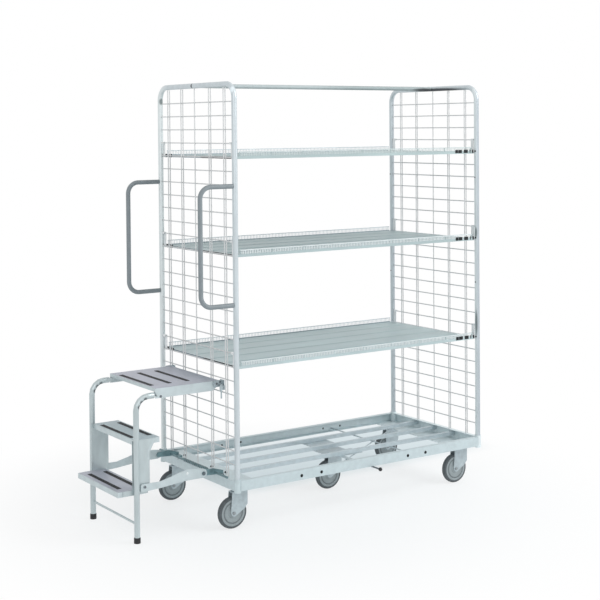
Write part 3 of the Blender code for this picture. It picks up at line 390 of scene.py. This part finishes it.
# painted dark reflections on the inner side of each leg's top bend
KNEE_REFLECTIONS = [((LEG_X + LEG_BEND - KNEE_R * cos(radians(turn)), way * LEG_Y,
                LEG_TOP_Z - LEG_BEND + KNEE_R * sin(radians(turn))),
               (0.011, 0.03, 0.011), (0.22, 0.22, 0.23))
              for way in (-1, 1) for turn in (20, 45, 70)]
STRAP_RADII = (0.021, 20.0, 20.0)           # the hook straps at both ends of every shelf, made paler as painted light
STRAP_LIGHT = (1.9, 1.6, 1.58)
# painted shade on the middle and top decks, and painted light on the hook straps
SHEET_LIGHT_AND_SHADE = [
    ((0.0, 0.0, SHELF_DECKS["middle"]), (2.0, 2.0, 0.2), (0.88, 0.89, 0.89)),
    ((0.0, 0.0, SHELF_DECKS["top"]), (2.0, 2.0, 0.2), (0.84, 0.85, 0.84)),
    ((-HX - 0.001, 0.0, 1.0), STRAP_RADII, STRAP_LIGHT),
    ((HX + 0.001, 0.0, 1.0), STRAP_RADII, STRAP_LIGHT)]

# Zinc on tubes, bars and sheets
DRAWN = (1.0, 1.0, 0.25)      # stretches the patches along a post
ROLLED = (0.25, 1.0, 1.0)     # and along a shelf
ZINC = surface("zinc_bright", (0.575, 0.665, 0.69), 0.42, 0.35, spread=0.05)
# a darker copy of zinc, a painted dark reflection on the deck bars, also used for the back combs
ZINC_BAR_SHADED = surface("zinc_bar", (0.53, 0.61, 0.645), 0.42, 0.35)
ZINC_TUBE = surface("zinc_tube", (0.60, 0.66, 0.69), 0.34, 0.45, spread=0.05, stretch=DRAWN,
                    tones=TUBE_LIGHT_AND_SHADE)
ZINC_TOP = surface("zinc_top", (0.47, 0.53, 0.54), 0.62, 0.15, spread=0.05, tones=TOP_TUBE_SHADE)
ZINC_LEG = surface("zinc_leg", (0.53, 0.60, 0.615), 0.32, 0.45, stretch=DRAWN, tones=KNEE_REFLECTIONS)
ZINC_SHEET = surface("zinc_sheet", (0.475, 0.575, 0.59), 0.44, 0.30, spread=0.08, patch=14.0,
                     stretch=ROLLED, tones=SHEET_LIGHT_AND_SHADE)
ZINC_STEP = surface("zinc_step", (0.57, 0.645, 0.665), 0.42, 0.35, spread=0.07, patch=26.0)
# paler copies of zinc as a painted highlight, on the front combs and the ladder arms' rivets; dimmer
# for the top shelf
ZINC_HIGHLIGHT = surface("zinc_edge", (0.80, 0.85, 0.86), 0.40, 0.25, spread=0.04)
ZINC_HIGHLIGHT_TOP = surface("zinc_edge_top", (0.60, 0.67, 0.67), 0.40, 0.25, spread=0.04)
# near white as painted light on the hooks
HOOK_LIT = surface("hook_zinc", (0.92, 0.94, 0.95), 0.5, 0.0, spread=0.03)
# dark zinc as painted shade, on the shelves' end flanges and at the foot of the back combs
ZINC_SHADE = surface("zinc_end", (0.27, 0.345, 0.39), 0.40, 0.35, spread=0.14, patch=20.0)
# a paler copy of zinc, painted light on the right end of the base
ZINC_LIT = surface("zinc_pale", (0.76, 0.84, 0.86), 0.42, 0.25)
# dark zinc as painted shade on the ladder arms' carrier
CARRIER_SHADE = surface("zinc_carrier", (0.17, 0.27, 0.295), 0.40, 0.4, spread=0.25, patch=30.0)
ZINC_DARK = surface("zinc_pressed", (0.47, 0.54, 0.57), 0.42, 0.45, spread=0.10, patch=60.0)
# tread tops, coloured as a painted reflection
TREAD_REFLECTION = surface("tread_top", (0.484, 0.50, 0.57), 0.46, 0.25, spread=0.07, patch=22.0)
TREAD_MIDDLE_REFLECTION = surface("tread_middle", (0.47, 0.56, 0.595), 0.46, 0.25, spread=0.07, patch=22.0)
WIRE = surface("zinc_wire", (0.675, 0.685, 0.69), 0.42, 0.25, spread=0.05, patch=80.0)

# Steel hardware
NUT = surface("axle_zinc", (0.30, 0.33, 0.345), 0.40, 0.4, spread=0.12, patch=200.0)
STEEL = surface("bolt_steel", (0.16, 0.18, 0.20), 0.38, 0.5, spread=0.15, patch=220.0)
SPRING = surface("spring_steel", (0.28, 0.35, 0.37), 0.38, 0.5, spread=0.15, patch=120.0)

# Paint, rubber and plastic
GREY_COAT = surface("handle_coat", (0.25, 0.285, 0.305), 0.48, 0.0, spread=0.05, patch=70.0, bump=0.12)
TYRE = surface("tyre_rubber", (0.098, 0.112, 0.120), 0.72, 0.0, spread=0.16, patch=90.0, bump=0.25)
HUB = surface("hub_plastic", (0.31, 0.353, 0.365), 0.45, 0.0, spread=0.05, patch=60.0, bump=0.08)
HUB_DARK = surface("hub_shade", (0.17, 0.195, 0.205), 0.5, 0.0, spread=0.08, patch=60.0, bump=0.08)
BLACK = surface("black_rubber", (0.018, 0.019, 0.021), 0.62, 0.0, spread=0.25, patch=120.0, bump=0.35)
KNOB_BLACK = surface("knob_plastic", (0.012, 0.012, 0.014), 0.25, 0.0, spread=0.10, patch=90.0,
                     bump=0.02, rough_spread=0.04)
# black for painted shade: in holes, in the shelves' dashes and on the front right post
BLACK_SHADE = surface("hole_shade", (0.012, 0.014, 0.016), 0.9, 0.0, spread=0.1, rough_spread=0.02)

# A point from its place along an axis and its two other coordinates
PLACED = {"x": lambda along, a, b: (along, a, b),
          "y": lambda along, a, b: (a, along, b),
          "z": lambda along, a, b: (a, b, along)}


# Mesh helpers: each adds one closed shape to a bmesh
def add_prism(bm, axis, profile, start, end):
    """Closed profile drawn out along an axis."""
    place = PLACED[axis]
    rings = [[bm.verts.new(place(along, a, b)) for a, b in profile] for along in (start, end)]
    bm.faces.new(rings[0])
    bm.faces.new(rings[1][::-1])
    count = len(profile)
    for i in range(count):
        j = (i + 1) % count
        bm.faces.new((rings[0][i], rings[1][i], rings[1][j], rings[0][j]))


def add_box(bm, low, high):
    corners = [(low[0], low[2]), (high[0], low[2]), (high[0], high[2]), (low[0], high[2])]
    add_prism(bm, "y", corners, low[1], high[1])


def disc(centre, radius, sides=ROUND, first=0.0):
    """Points around a centre, from a first angle on."""
    turns = [first + 2 * pi * i / sides for i in range(sides)]
    return [(centre[0] + radius * cos(turn), centre[1] + radius * sin(turn)) for turn in turns]


def add_rod(bm, axis, centre, radius, start, end, sides=ROUND):
    add_prism(bm, axis, disc(centre, radius, sides), start, end)


def rounded(corners, radius):
    """Points of a path whose inner corners are bent to a radius."""
    points = [Vector(corners[0])]
    for i in range(1, len(corners) - 1):
        here = Vector(corners[i])
        back = (Vector(corners[i - 1]) - here).normalized()
        ahead = (Vector(corners[i + 1]) - here).normalized()
        half = back.angle(ahead) / 2
        middle = here + (back + ahead).normalized() * (radius / sin(half))
        start = (here + back * (radius / tan(half)) - middle).normalized()
        end = (here + ahead * (radius / tan(half)) - middle).normalized()
        for k in range(BEND_STEPS + 1):
            points.append(middle + start.slerp(end, k / BEND_STEPS) * radius)
    points.append(Vector(corners[-1]))
    return points


def add_tube(bm, points, radius, side):
    """Round tube along a path; side is a direction that the path never follows."""
    side = Vector(side)
    turns = [2 * pi * k / ROUND for k in range(ROUND)]
    rings = []
    last = len(points) - 1
    for i, point in enumerate(points):
        ahead = (points[min(i + 1, last)] - point).normalized()
        behind = (point - points[max(i - 1, 0)]).normalized()
        along = (ahead + behind).normalized()
        across = (side - along * side.dot(along)).normalized()
        other = along.cross(across)
        rings.append([bm.verts.new(point + (across * cos(turn) + other * sin(turn)) * radius)
                      for turn in turns])
    for i in range(last):
        for k in range(ROUND):
            j = (k + 1) % ROUND
            bm.faces.new((rings[i][k], rings[i][j], rings[i + 1][j], rings[i + 1][k]))
    bm.faces.new(rings[0][::-1])
    bm.faces.new(rings[-1])


def add_ring(bm, axis, centre, profile, segments):
    """Ring about a line through centre, from a closed profile of (radius, offset along the axis)."""
    place = PLACED[axis]
    middle = Vector(centre)
    rings = []
    for i in range(segments):
        turn = 2 * pi * i / segments
        rings.append([bm.verts.new(Vector(place(h, r * cos(turn), r * sin(turn))) + middle)
                      for r, h in profile])
    count = len(profile)
    for i in range(segments):
        after = (i + 1) % segments
        for k in range(count):
            j = (k + 1) % count
            bm.faces.new((rings[i][k], rings[after][k], rings[after][j], rings[i][j]))


def add_plug(bm, axis, centre, size, out):
    """Shallow domed plug or rivet that stands out from centre along an axis."""
    radius, height = size
    shape = [(DOME_CORE, 0.0), *((radius * r, height * h) for r, h in DOME), (DOME_CORE, height)]
    add_ring(bm, axis, centre, [(r, out * h) for r, h in shape], ROUND_PLUG)


def add_bolt(bm, axis, centre, size, out):
    """Hexagon head on a washer."""
    radius, height = size
    wide, thick = WASHER
    along = "xyz".index(axis)
    flat = [part for i, part in enumerate(centre) if i != along]
    washer = (radius * wide, 0.0, thick, ROUND_PLUG)
    head = (radius, thick, 1.0, BOLT_SIDES)
    for reach, start, end, sides in (washer, head):
        ends = sorted((centre[along] + out * height * start, centre[along] + out * height * end))
        add_prism(bm, axis, disc(flat, reach, sides, BOLT_TURN), *ends)


def mirrored(place, way):
    """A place of the back half, or for way -1 its mirror in the front half."""
    return (place[0], way * place[1], place[2])


def piece(name, bm, skin, body, replaces=(), bevel=0.0):
    """Finish a bmesh as a named piece that rides on a body."""
    bmesh.ops.recalc_face_normals(bm, faces=bm.faces)
    for face in bm.faces:
        face.smooth = True
    for edge in bm.edges:
        edge.smooth = len(edge.link_faces) == 2 and edge.calc_face_angle() < SMOOTH_BELOW
    bmesh.ops.translate(bm, verts=bm.verts, vec=SHIFT)
    mesh = bpy.data.meshes.new(name)
    bm.to_mesh(mesh)
    bm.free()
    made = bpy.data.objects.new(name, mesh)
    made.data.materials.append(skin)
    bpy.context.scene.collection.objects.link(made)
    if bevel:
        rounding = made.modifiers.new("edges", "BEVEL")
        rounding.width = bevel
        rounding.segments = 2
        rounding.limit_method = "ANGLE"
        rounding.angle_limit = BEVEL_ABOVE
    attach(made, body)
    if replaces:
        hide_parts(*replaces)


def paint(names, skin):
    """Give CAD nodes a finish."""
    for name in names:
        for entry in nodes[name].material_slots:
            entry.material = skin


# CAD nodes that keep their shape and get a finish
paint(["base_rail_front", "base_rail_back", "base_end_left", "end_plate_left"], ZINC)
# the right end paler, as painted light
paint(["base_end_right", "end_plate_right"], ZINC_LIT)
paint(["deck_bar_front", "deck_bar_middle", "deck_bar_back"], ZINC_BAR_SHADED)
paint(["shelf_low", "shelf_middle", "shelf_top"], ZINC_SHEET)
paint(["ladder_platform", "ladder_step_middle", "ladder_step_low"], ZINC_STEP)
paint(["ladder_arm_front", "ladder_arm_back"], ZINC_STEP)
paint(["ladder_leg_front", "ladder_leg_back"], ZINC_LEG)
paint([name for name in nodes if name.startswith(("castor_", "fork_", "lock_"))], ZINC_DARK)
paint(["cross_rod", "ladder_hinge"], ZINC_DARK)
paint(["pull_rod"], STEEL)
paint(["arm_carrier"], CARRIER_SHADE)
paint(["lift_spring"], SPRING)


# End frames, top bar and push handles
def hoop(side, way):
    bm = bmesh.new()
    path = rounded(((way * HX, -HY, POST_FOOT_Z), (way * HX, -HY, HOOP_Z), (way * HX, HY, HOOP_Z),
                    (way * HX, HY, POST_FOOT_Z)), HOOP_BEND)
    add_tube(bm, path, TUBE_LOOK_R, (1, 0, 0))
    piece("hoop_" + side, bm, ZINC_TUBE, "trolley", ["end_frame_" + side])


def wires(side, way):
    """Cross wires, with uprights in pairs on both sides of them and a single one in the middle."""
    bm = bmesh.new()
    inner = HY - TUBE_R - GAP
    for k in range(WIRE_COUNT):
        add_rod(bm, "y", (way * HX, WIRE_FIRST_Z + WIRE_PITCH * k), WIRE_R, -inner, inner, ROUND_WIRE)
    low = RAIL_TOP + GAP
    high = HOOP_Z - TUBE_R - GAP
    for k in range(-UPRIGHT_PAIRS, UPRIGHT_PAIRS + 1):
        for out in ((1,) if k == 0 else (-1, 1)):
            x = way * (HX + out * WIRE_R * WIRES_APART)
            add_rod(bm, "z", (x, UPRIGHT_PITCH * k), WIRE_R, low, high, ROUND_WIRE)
    piece("wires_" + side, bm, WIRE, "trolley", ["mesh_" + side])


def top_tube():
    bm = bmesh.new()
    reach = HX - TUBE_R - GAP
    add_rod(bm, "x", (0.0, HOOP_Z), TOP_BAR_R, -reach, reach)
    piece("top_tube", bm, ZINC_TOP, "trolley", ["top_bar"])


def push_handle(side, way):
    bm = bmesh.new()
    root = -(HX + TUBE_R + GAP)
    path = rounded(((root, way * HY, HANDLE_LOW), (-HANDLE_OUT, way * HY, HANDLE_LOW),
                    (-HANDLE_OUT, way * HY, HANDLE_TOP), (root, way * HY, HANDLE_TOP)), HANDLE_BEND)
    add_tube(bm, path, HANDLE_R, (0, 1, 0))
    piece("push_handle_" + side, bm, GREY_COAT, "trolley", ["handle_" + side])


for side, way in LEFT_RIGHT:
    hoop(side, way)
    wires(side, way)
top_tube()
for side, way in FRONT_BACK:
    push_handle(side, way)


# Shelves: fine combs along the back and front, end flanges with painted shade, hooks with painted
# light and dashes of painted shadow
def add_teeth(bm, y, low, high, wide):
    """Comb teeth along the whole of a shelf's edge."""
    count = int(2 * FENCE_HALF / TOOTH_PITCH)
    start = -TOOTH_PITCH * count / 2
    half = FENCE_WIRE_R / 2
    for k in range(count + 1):
        x = start + TOOTH_PITCH * k
        add_box(bm, (x - wide / 2, y - half, low), (x + wide / 2, y + half, high))


def comb_back(name, deck, body):
    """Teeth under a wire, and the bar that they stand on, dark as a painted shadow."""
    back = SHELF_HALF_Y - FENCE_WIRE_R
    low = deck + FENCE_BAR
    top = deck + FENCE_UP - FENCE_WIRE_R
    bm = bmesh.new()
    add_teeth(bm, back, low, top, TOOTH_WIDE)
    add_rod(bm, "x", (back, top), FENCE_WIRE_R, -FENCE_HALF, FENCE_HALF, ROUND_WIRE)
    piece("comb_" + name, bm, ZINC_BAR_SHADED, body, ["shelf_fence_" + name])
    bm = bmesh.new()
    add_box(bm, (-FENCE_HALF, back - FENCE_WIRE_R / 2, deck + GAP),
            (FENCE_HALF, back + FENCE_WIRE_R, low))
    piece("comb_foot_" + name, bm, ZINC_SHADE, body)


def comb_front(name, deck, body):
    """Teeth under a flat bar, pale as a painted highlight."""
    top = deck + FENCE_UP - FENCE_BAR
    bm = bmesh.new()
    add_teeth(bm, FENCE_WIRE_R - SHELF_HALF_Y, deck + FENCE_BAR, top, TOOTH_WIDE * FRONT_TOOTH_SHARE)
    add_box(bm, (-FENCE_HALF, -SHELF_HALF_Y - GAP * 2, top),
            (FENCE_HALF, -SHELF_HALF_Y - GAP, deck + FENCE_UP - GAP))
    skin = ZINC_HIGHLIGHT_TOP if name == "top" else ZINC_HIGHLIGHT
    piece("comb_front_" + name, bm, skin, body)


def end_flanges(name, deck, body):
    """Edge of the folded sheet on both ends, dark with painted shade, in two stretches that lap."""
    low = deck - SHELF_DROP
    fold_high, fold_low = (low + SHELF_DROP * share for share in FOLD_SHARES)
    bm = bmesh.new()
    for way in (-1, 1):
        face = way * (SHELF_HALF_X + GAP)
        rib = [(0.0, low + GAP), (0.0, deck + GAP), (way * GAP, deck), (way * GAP, fold_high),
               (way * GAP * 2, fold_low), (way * GAP * 2, low + GAP)]
        profile = [(face + x, z) for x, z in rib]
        add_prism(bm, "y", profile, -SHELF_HALF_Y + GAP, FLANGE_LAP_Y)
        add_prism(bm, "y", profile, -HOOK_Y[0] + GAP, HOOK_Y[0] - GAP)
    piece("end_flange_" + name, bm, ZINC_SHADE, body)


def hook_beads(name, deck, body):
    """Bead down each of the four hooks, near white with painted light."""
    root, crest = BEAD_HALVES
    bm = bmesh.new()
    for way in (-1, 1):
        x = way * (HOOK_FACE_X - GAP)
        for side in (-1, 1):
            start, end = sorted((side * (HOOK_Y[0] + GAP), side * (HOOK_Y[1] - GAP)))
            middle = (start + end) / 2
            bead = [(x, start), (x, end), (x - way * GAP, end), (x - way * GAP, middle + root),
                    (x - way * GAP * 3, middle + crest), (x - way * GAP * 3, middle - crest),
                    (x - way * GAP, middle - root), (x - way * GAP, start)]
            add_prism(bm, "z", bead, deck + BEAD_FOOT, deck + WIRE_PITCH)
    piece("hook_bead_" + name, bm, HOOK_LIT, body)


def add_shadow_dash(bm, axis, span, face, middle):
    """Black dash of painted shadow on an outer face that looks to the minus side, with chamfered
    corners.
    """
    start, end = span
    low = middle - DASH_DOWN
    high = middle + DASH_UP
    shape = [(start, low + DASH_NIP), (start + DASH_NIP, low), (end - DASH_NIP, low),
             (end, low + DASH_NIP), (end, high - DASH_NIP), (end - DASH_NIP, high),
             (start + DASH_NIP, high), (start, high - DASH_NIP)]
    add_prism(bm, axis, shape, face - DASH_THICK, face)


def lip_shadow_dashes(name, deck, body):
    """Dashes of painted shadow on the front lip and on the left end."""
    bm = bmesh.new()
    for span in FRONT_DASHES:
        add_shadow_dash(bm, "y", span, -SHELF_HALF_Y - GAP, deck)
    for span in END_DASHES:
        add_shadow_dash(bm, "x", span, -SHELF_HALF_X - GAP * 3, deck - END_DASH_DROP)
    piece("lip_clips_" + name, bm, BLACK_SHADE, body)


for name, deck in SHELF_DECKS.items():
    for dress in (comb_back, comb_front, end_flanges, hook_beads, lip_shadow_dashes):
        dress(name, deck, "shelf_%s_lift" % name)


# Wheels
def both_halves(half):
    """Closed profile from the half on one side of a wheel's middle plane."""
    return [(r, -h) for r, h in half] + [(r, h) for r, h in reversed(half)]


def wheel(tag, centre):
    """Tyre, rim, and the dark bands and caps on both sides of the rim."""
    body = "wheel_" + tag
    bm = bmesh.new()
    add_ring(bm, "y", centre, both_halves(TYRE_HALF), ROUND_WHEEL)
    piece("tread_" + tag, bm, TYRE, body, ["tyre_" + tag])
    bm = bmesh.new()
    add_ring(bm, "y", centre, both_halves(RIM_HALF), ROUND_WHEEL)
    piece("rim_" + tag, bm, HUB, body, ["hub_" + tag])
    bm = bmesh.new()
    for way in (-1, 1):
        for band, segments in ((RIM_BAND, ROUND_WHEEL), (AXLE_CAP, ROUND_CAP)):
            add_ring(bm, "y", centre, [(r, way * h) for r, h in band], segments)
    piece("rim_shade_" + tag, bm, HUB_DARK, body)


def axle_nuts(tag, x, y):
    bm = bmesh.new()
    for out in (-1, 1):
        face = y + out * AXLE_OUT
        ends = sorted((face + out * GAP, face + out * NUT_THICK))
        add_prism(bm, "y", disc((x, WHEEL_R), NUT_R, BOLT_SIDES), *ends)
    piece("axle_nuts_" + tag, bm, NUT, "castor_" + tag, bevel=NUT_EDGE)


for end, way_y in FRONT_BACK:
    for side, way_x in LEFT_RIGHT:
        tag = end + "_" + side
        x = way_x * SWIVEL_X - TRAIL
        y = way_y * SWIVEL_Y
        wheel(tag, (x, y, WHEEL_R))
        axle_nuts(tag, x, y)
wheel("centre", (MID_TRAIL, 0.0, WHEEL_R))


# Ladder: rubber feet, and the top layer with a painted reflection and the ribbed grip strips of each
# tread
def rubber_foot(side, way):
    """Foot with a groove around its middle."""
    sole, side_share = FOOT_SOLE
    bm = bmesh.new()
    profile = [(FOOT_CORE, 0.0), (FOOT_R * sole, 0.0), (FOOT_R * side_share, FOOT_EDGE),
               *((FOOT_R * r, FOOT_UP * h) for r, h in FOOT_SHAPE), (FOOT_CORE, FOOT_UP)]
    add_ring(bm, "z", (LEG_X, way * LEG_Y, 0.0), profile, ROUND_FOOT)
    piece("rubber_foot_" + side, bm, BLACK, "ladder_legs", ["ladder_foot_" + side])


def ball_knob():
    bm = bmesh.new()
    around, over = KNOB_SEGMENTS
    bmesh.ops.create_uvsphere(bm, u_segments=around, v_segments=over, radius=KNOB_R)
    bmesh.ops.translate(bm, verts=bm.verts, vec=KNOB)
    piece("ball_knob", bm, KNOB_BLACK, "pull_knob_rod", ["pull_knob"])


def tread_skin(name, body, span, half_length, top, skin):
    """Layer just above a tread, coloured with a painted reflection."""
    bm = bmesh.new()
    start, end = span
    below, above = SKIN_INSETS
    outline = [(start + below, top), (start + above, top + GAP),
               (end - above, top + GAP), (end - below, top)]
    profile = [(x, z + GAP * 0.5) for x, z in outline]
    add_prism(bm, "y", profile, -half_length, half_length)
    piece("skin_" + name, bm, skin, body)


def strips(name, body, top, places):
    """Ribbed black bands glued across a tread."""
    low = top + GAP * 2
    base = top + STRIP_UP * STRIP_BASE
    high = top + STRIP_UP
    bm = bmesh.new()
    for x in places:
        near = x - STRIP_WIDE / 2
        profile = [(near, low), (near, base)]
        for k in range(STRIP_RIBS):
            left, right = (near + STRIP_WIDE * (k + share) / STRIP_RIBS for share in RIB_SPAN)
            profile += [(left, base), (left, high), (right, high), (right, base)]
        profile += [(x + STRIP_WIDE / 2, base), (x + STRIP_WIDE / 2, low)]
        add_prism(bm, "y", profile, -STRIP_HALF, STRIP_HALF)
    piece("strips_" + name, bm, BLACK, body)


for side, way in FRONT_BACK:
    rubber_foot(side, way)
ball_knob()
tread_skin("platform", "platform", PLATFORM_SPAN, PLATFORM_HALF, PLATFORM_TOP, TREAD_REFLECTION)
tread_skin("middle", "ladder_legs", MIDDLE_SPAN, STEP_HALF, MIDDLE_TOP, TREAD_MIDDLE_REFLECTION)
tread_skin("low", "ladder_legs", LOW_SPAN, STEP_HALF, LOW_TOP, TREAD_REFLECTION)
strips("platform", "platform", PLATFORM_TOP, PLATFORM_STRIPS)
strips("middle", "ladder_legs", MIDDLE_TOP, MIDDLE_STRIPS)
strips("low", "ladder_legs", LOW_TOP, LOW_STRIPS)


# Small hardware on the ladder and the base
def platform_bolts():
    bm = bmesh.new()
    for x, z in PLATFORM_BOLTS:
        for way in (-1, 1):
            add_bolt(bm, "y", (x, way * PLATFORM_SIDE, z), PLATFORM_BOLT, way)
    piece("platform_bolts", bm, STEEL, "platform")


def arm_rivets():
    bm = bmesh.new()
    for way in (-1, 1):
        add_plug(bm, "y", mirrored(ARM_RIVET_AT, way), ARM_RIVET, way)
    # the rivet heads are pale as a painted highlight
    piece("arm_rivets", bm, ZINC_HIGHLIGHT, "ladder_arms")


def frame_bolts():
    """Bolts of the hinge, of the plates that carry the platform, and of the base's end."""
    bm = bmesh.new()
    for way in (-1, 1):
        add_bolt(bm, "y", mirrored(HINGE_BOLT_AT, way), HINGE_BOLT, way)
        for x, y, z in PLATE_BOLTS:
            add_bolt(bm, "y", (x, way * y, z), PLATE_BOLT, way)
            add_bolt(bm, "y", (x, way * PLATE_INNER_SIDE, z), PLATE_BOLT, -way)
        add_bolt(bm, "z", mirrored(BASE_BOLT_AT, way), BASE_BOLT, 1)
    piece("frame_bolts", bm, STEEL, "trolley")


def leg_pivots():
    bm = bmesh.new()
    for way in (-1, 1):
        add_plug(bm, "y", mirrored(LEG_PIVOT_AT, way), LEG_PIVOT, way)
    piece("leg_pivots", bm, STEEL, "ladder_legs")


def side_folds():
    """Folded edge on the side plates under the middle step."""
    bm = bmesh.new()
    for way in (-1, 1):
        add_prism(bm, "y", FOLD_BAND, *sorted(way * side for side in FOLD_SIDES))
    piece("side_folds", bm, ZINC_STEP, "ladder_legs")


def dark_plugs():
    """Dark holes and plugs in the rails, the left end of the base and the right posts, black as
    painted shade in the holes, and spots of painted shade on the front right post at each deck.
    """
    bm = bmesh.new()
    for x in RAIL_PLUGS_X:
        for way in (-1, 1):
            add_plug(bm, "y", (x, way * (RAIL_FACE + GAP), RAIL_PLUGS_Z), RAIL_PLUG_OUTER, way)
            # the inner domes are painted shade behind the holes
            inner = way * (RAIL_FACE - RAIL_SHADE_IN)
            add_plug(bm, "y", (x, inner, RAIL_PLUGS_Z), RAIL_SHADE_INNER, -way)
    for y in END_PLUGS_Y:
        add_plug(bm, "z", (END_PLUGS_X, y, END_PLUGS_Z), END_PLUG, 1)
    for way in (-1, 1):
        for z in (HANDLE_LOW, HANDLE_TOP):
            add_plug(bm, "x", (HX - POST_PLUG_IN, way * HY, z), POST_PLUG, -1)
    # spots of painted shade on the front right post, just above each deck
    inward, aside = DECK_SHADE_SPOT_IN
    for deck in SHELF_DECKS.values():
        add_plug(bm, "x", (HX - inward, -HY - aside, deck + DECK_SHADE_SPOT_UP), DECK_SHADE_SPOT, -1)
    piece("dark_plugs", bm, BLACK_SHADE, "trolley")


for make in (platform_bolts, arm_rivets, frame_bolts, leg_pivots, side_folds, dark_plugs):
    make()

# Floor, light and background
FLOOR_HALF = 30
FLOOR_COLOUR = (0.875, 0.930, 0.955)
FLOOR_ROUGH = 0.7
GLOW_COLOUR = (1.0, 1.0, 1.0)
NEAR_SHARE = 0.70                           # of the glow, close to the trolley
NEAR_SPAN = (0.5, 1.6)                      # over which the glow becomes full
SHADE_AT = (0.360 + SHIFT.x, 0.500 + SHIFT.y)     # soft shade behind the base
SHADE_HALF = (0.660, 0.325)
SHADE_SOFT = 0.125
SHADE = (0.71, 0.79, 0.82)
WORLD_LEVELS = (0.65, 1.0)                  # as a light, and where it is seen


def seen(tree):
    """1 for rays that show the background: from the camera, in metal and through glass."""
    path = tree.nodes.new("ShaderNodeLightPath")
    total = path.outputs["Is Camera Ray"]
    for ray in ("Is Glossy Ray", "Is Transmission Ray"):
        total = maths(tree, "ADD", total, path.outputs[ray], clamp=True)
    return total


def shade_mask(tree, spot):
    """1 inside the soft rectangle of shade on the floor, from object coordinates."""
    split = tree.nodes.new("ShaderNodeSeparateXYZ")
    tree.links.new(spot, split.inputs["Vector"])
    bands = []
    for axis, middle, half in zip("XY", SHADE_AT, SHADE_HALF):
        offset = maths(tree, "ABSOLUTE", maths(tree, "SUBTRACT", split.outputs[axis], middle))
        span = (half + SHADE_SOFT, half - SHADE_SOFT)
        bands.append(remap(tree, offset, span, (0.0, 1.0), smooth=True))
    return maths(tree, "MULTIPLY", *bands)


def shaded(tree, colour, mask):
    """Colour darkened where the mask is 1."""
    dark = [part * by for part, by in zip(colour, SHADE)]
    return mixed(tree, mask, (*colour, 1.0), (*dark, 1.0))


def floor_paint():
    """Matt floor that takes shadows near the trolley and glows white around it."""
    made, tree, shader = shader_material("floor_paint")
    spot = tree.nodes.new("ShaderNodeTexCoord").outputs["Object"]
    mask = shade_mask(tree, spot)
    shader.inputs["Roughness"].default_value = FLOOR_ROUGH
    tree.links.new(shaded(tree, FLOOR_COLOUR, mask), shader.inputs["Base Color"])
    glow = tree.nodes.new("ShaderNodeEmission")
    tree.links.new(shaded(tree, GLOW_COLOUR, mask), glow.inputs["Color"])
    distance = tree.nodes.new("ShaderNodeVectorMath")
    distance.operation = "LENGTH"
    tree.links.new(spot, distance.inputs[0])
    share = remap(tree, distance.outputs["Value"], NEAR_SPAN, (NEAR_SHARE, 1.0), smooth=True)
    blend = tree.nodes.new("ShaderNodeMixShader")
    factor = maths(tree, "MULTIPLY", seen(tree), share)
    for entry, source in zip(blend.inputs, (factor, shader.outputs["BSDF"], glow.outputs["Emission"])):
        tree.links.new(source, entry)
    tree.links.new(blend.outputs["Shader"], tree.nodes["Material Output"].inputs["Surface"])
    return made


def make_floor():
    half = FLOOR_HALF
    mesh = bpy.data.meshes.new("floor")
    corners = [(-half, -half, 0), (half, -half, 0), (half, half, 0), (-half, half, 0)]
    mesh.from_pydata(corners, [], [(0, 1, 2, 3)])
    mesh.materials.append(floor_paint())
    floor = bpy.data.objects.new("floor", mesh)
    bpy.context.scene.collection.objects.link(floor)


def make_world():
    """White where it is seen, and weaker as a light."""
    world = bpy.data.worlds.new("studio")
    bpy.context.scene.world = world
    world.use_nodes = True
    tree = world.node_tree
    back = tree.nodes["Background"]
    back.inputs["Color"].default_value = (1.0, 1.0, 1.0, 1.0)
    level = remap(tree, seen(tree), (0.0, 1.0), WORLD_LEVELS)
    tree.links.new(level, back.inputs["Strength"])


def lamp(name, place, target, size, power):
    """Square light at a place, turned to a target."""
    data = bpy.data.lights.new(name, "AREA")
    data.size = size
    data.energy = power
    made = bpy.data.objects.new(name, data)
    made.location = Vector(place) + SHIFT
    made.rotation_euler = (Vector(target) - Vector(place)).to_track_quat("-Z", "Y").to_euler()
    bpy.context.scene.collection.objects.link(made)


make_floor()
make_world()
lamp("key", place=(2.6, -3.0, 3.4), target=(0.0, 0.0, 0.8), size=2.4, power=98)
lamp("fill", place=(-3.2, -3.0, 2.6), target=(0.0, 0.0, 0.7), size=2.6, power=25)
bpy.context.scene.view_settings.view_transform = "Standard"
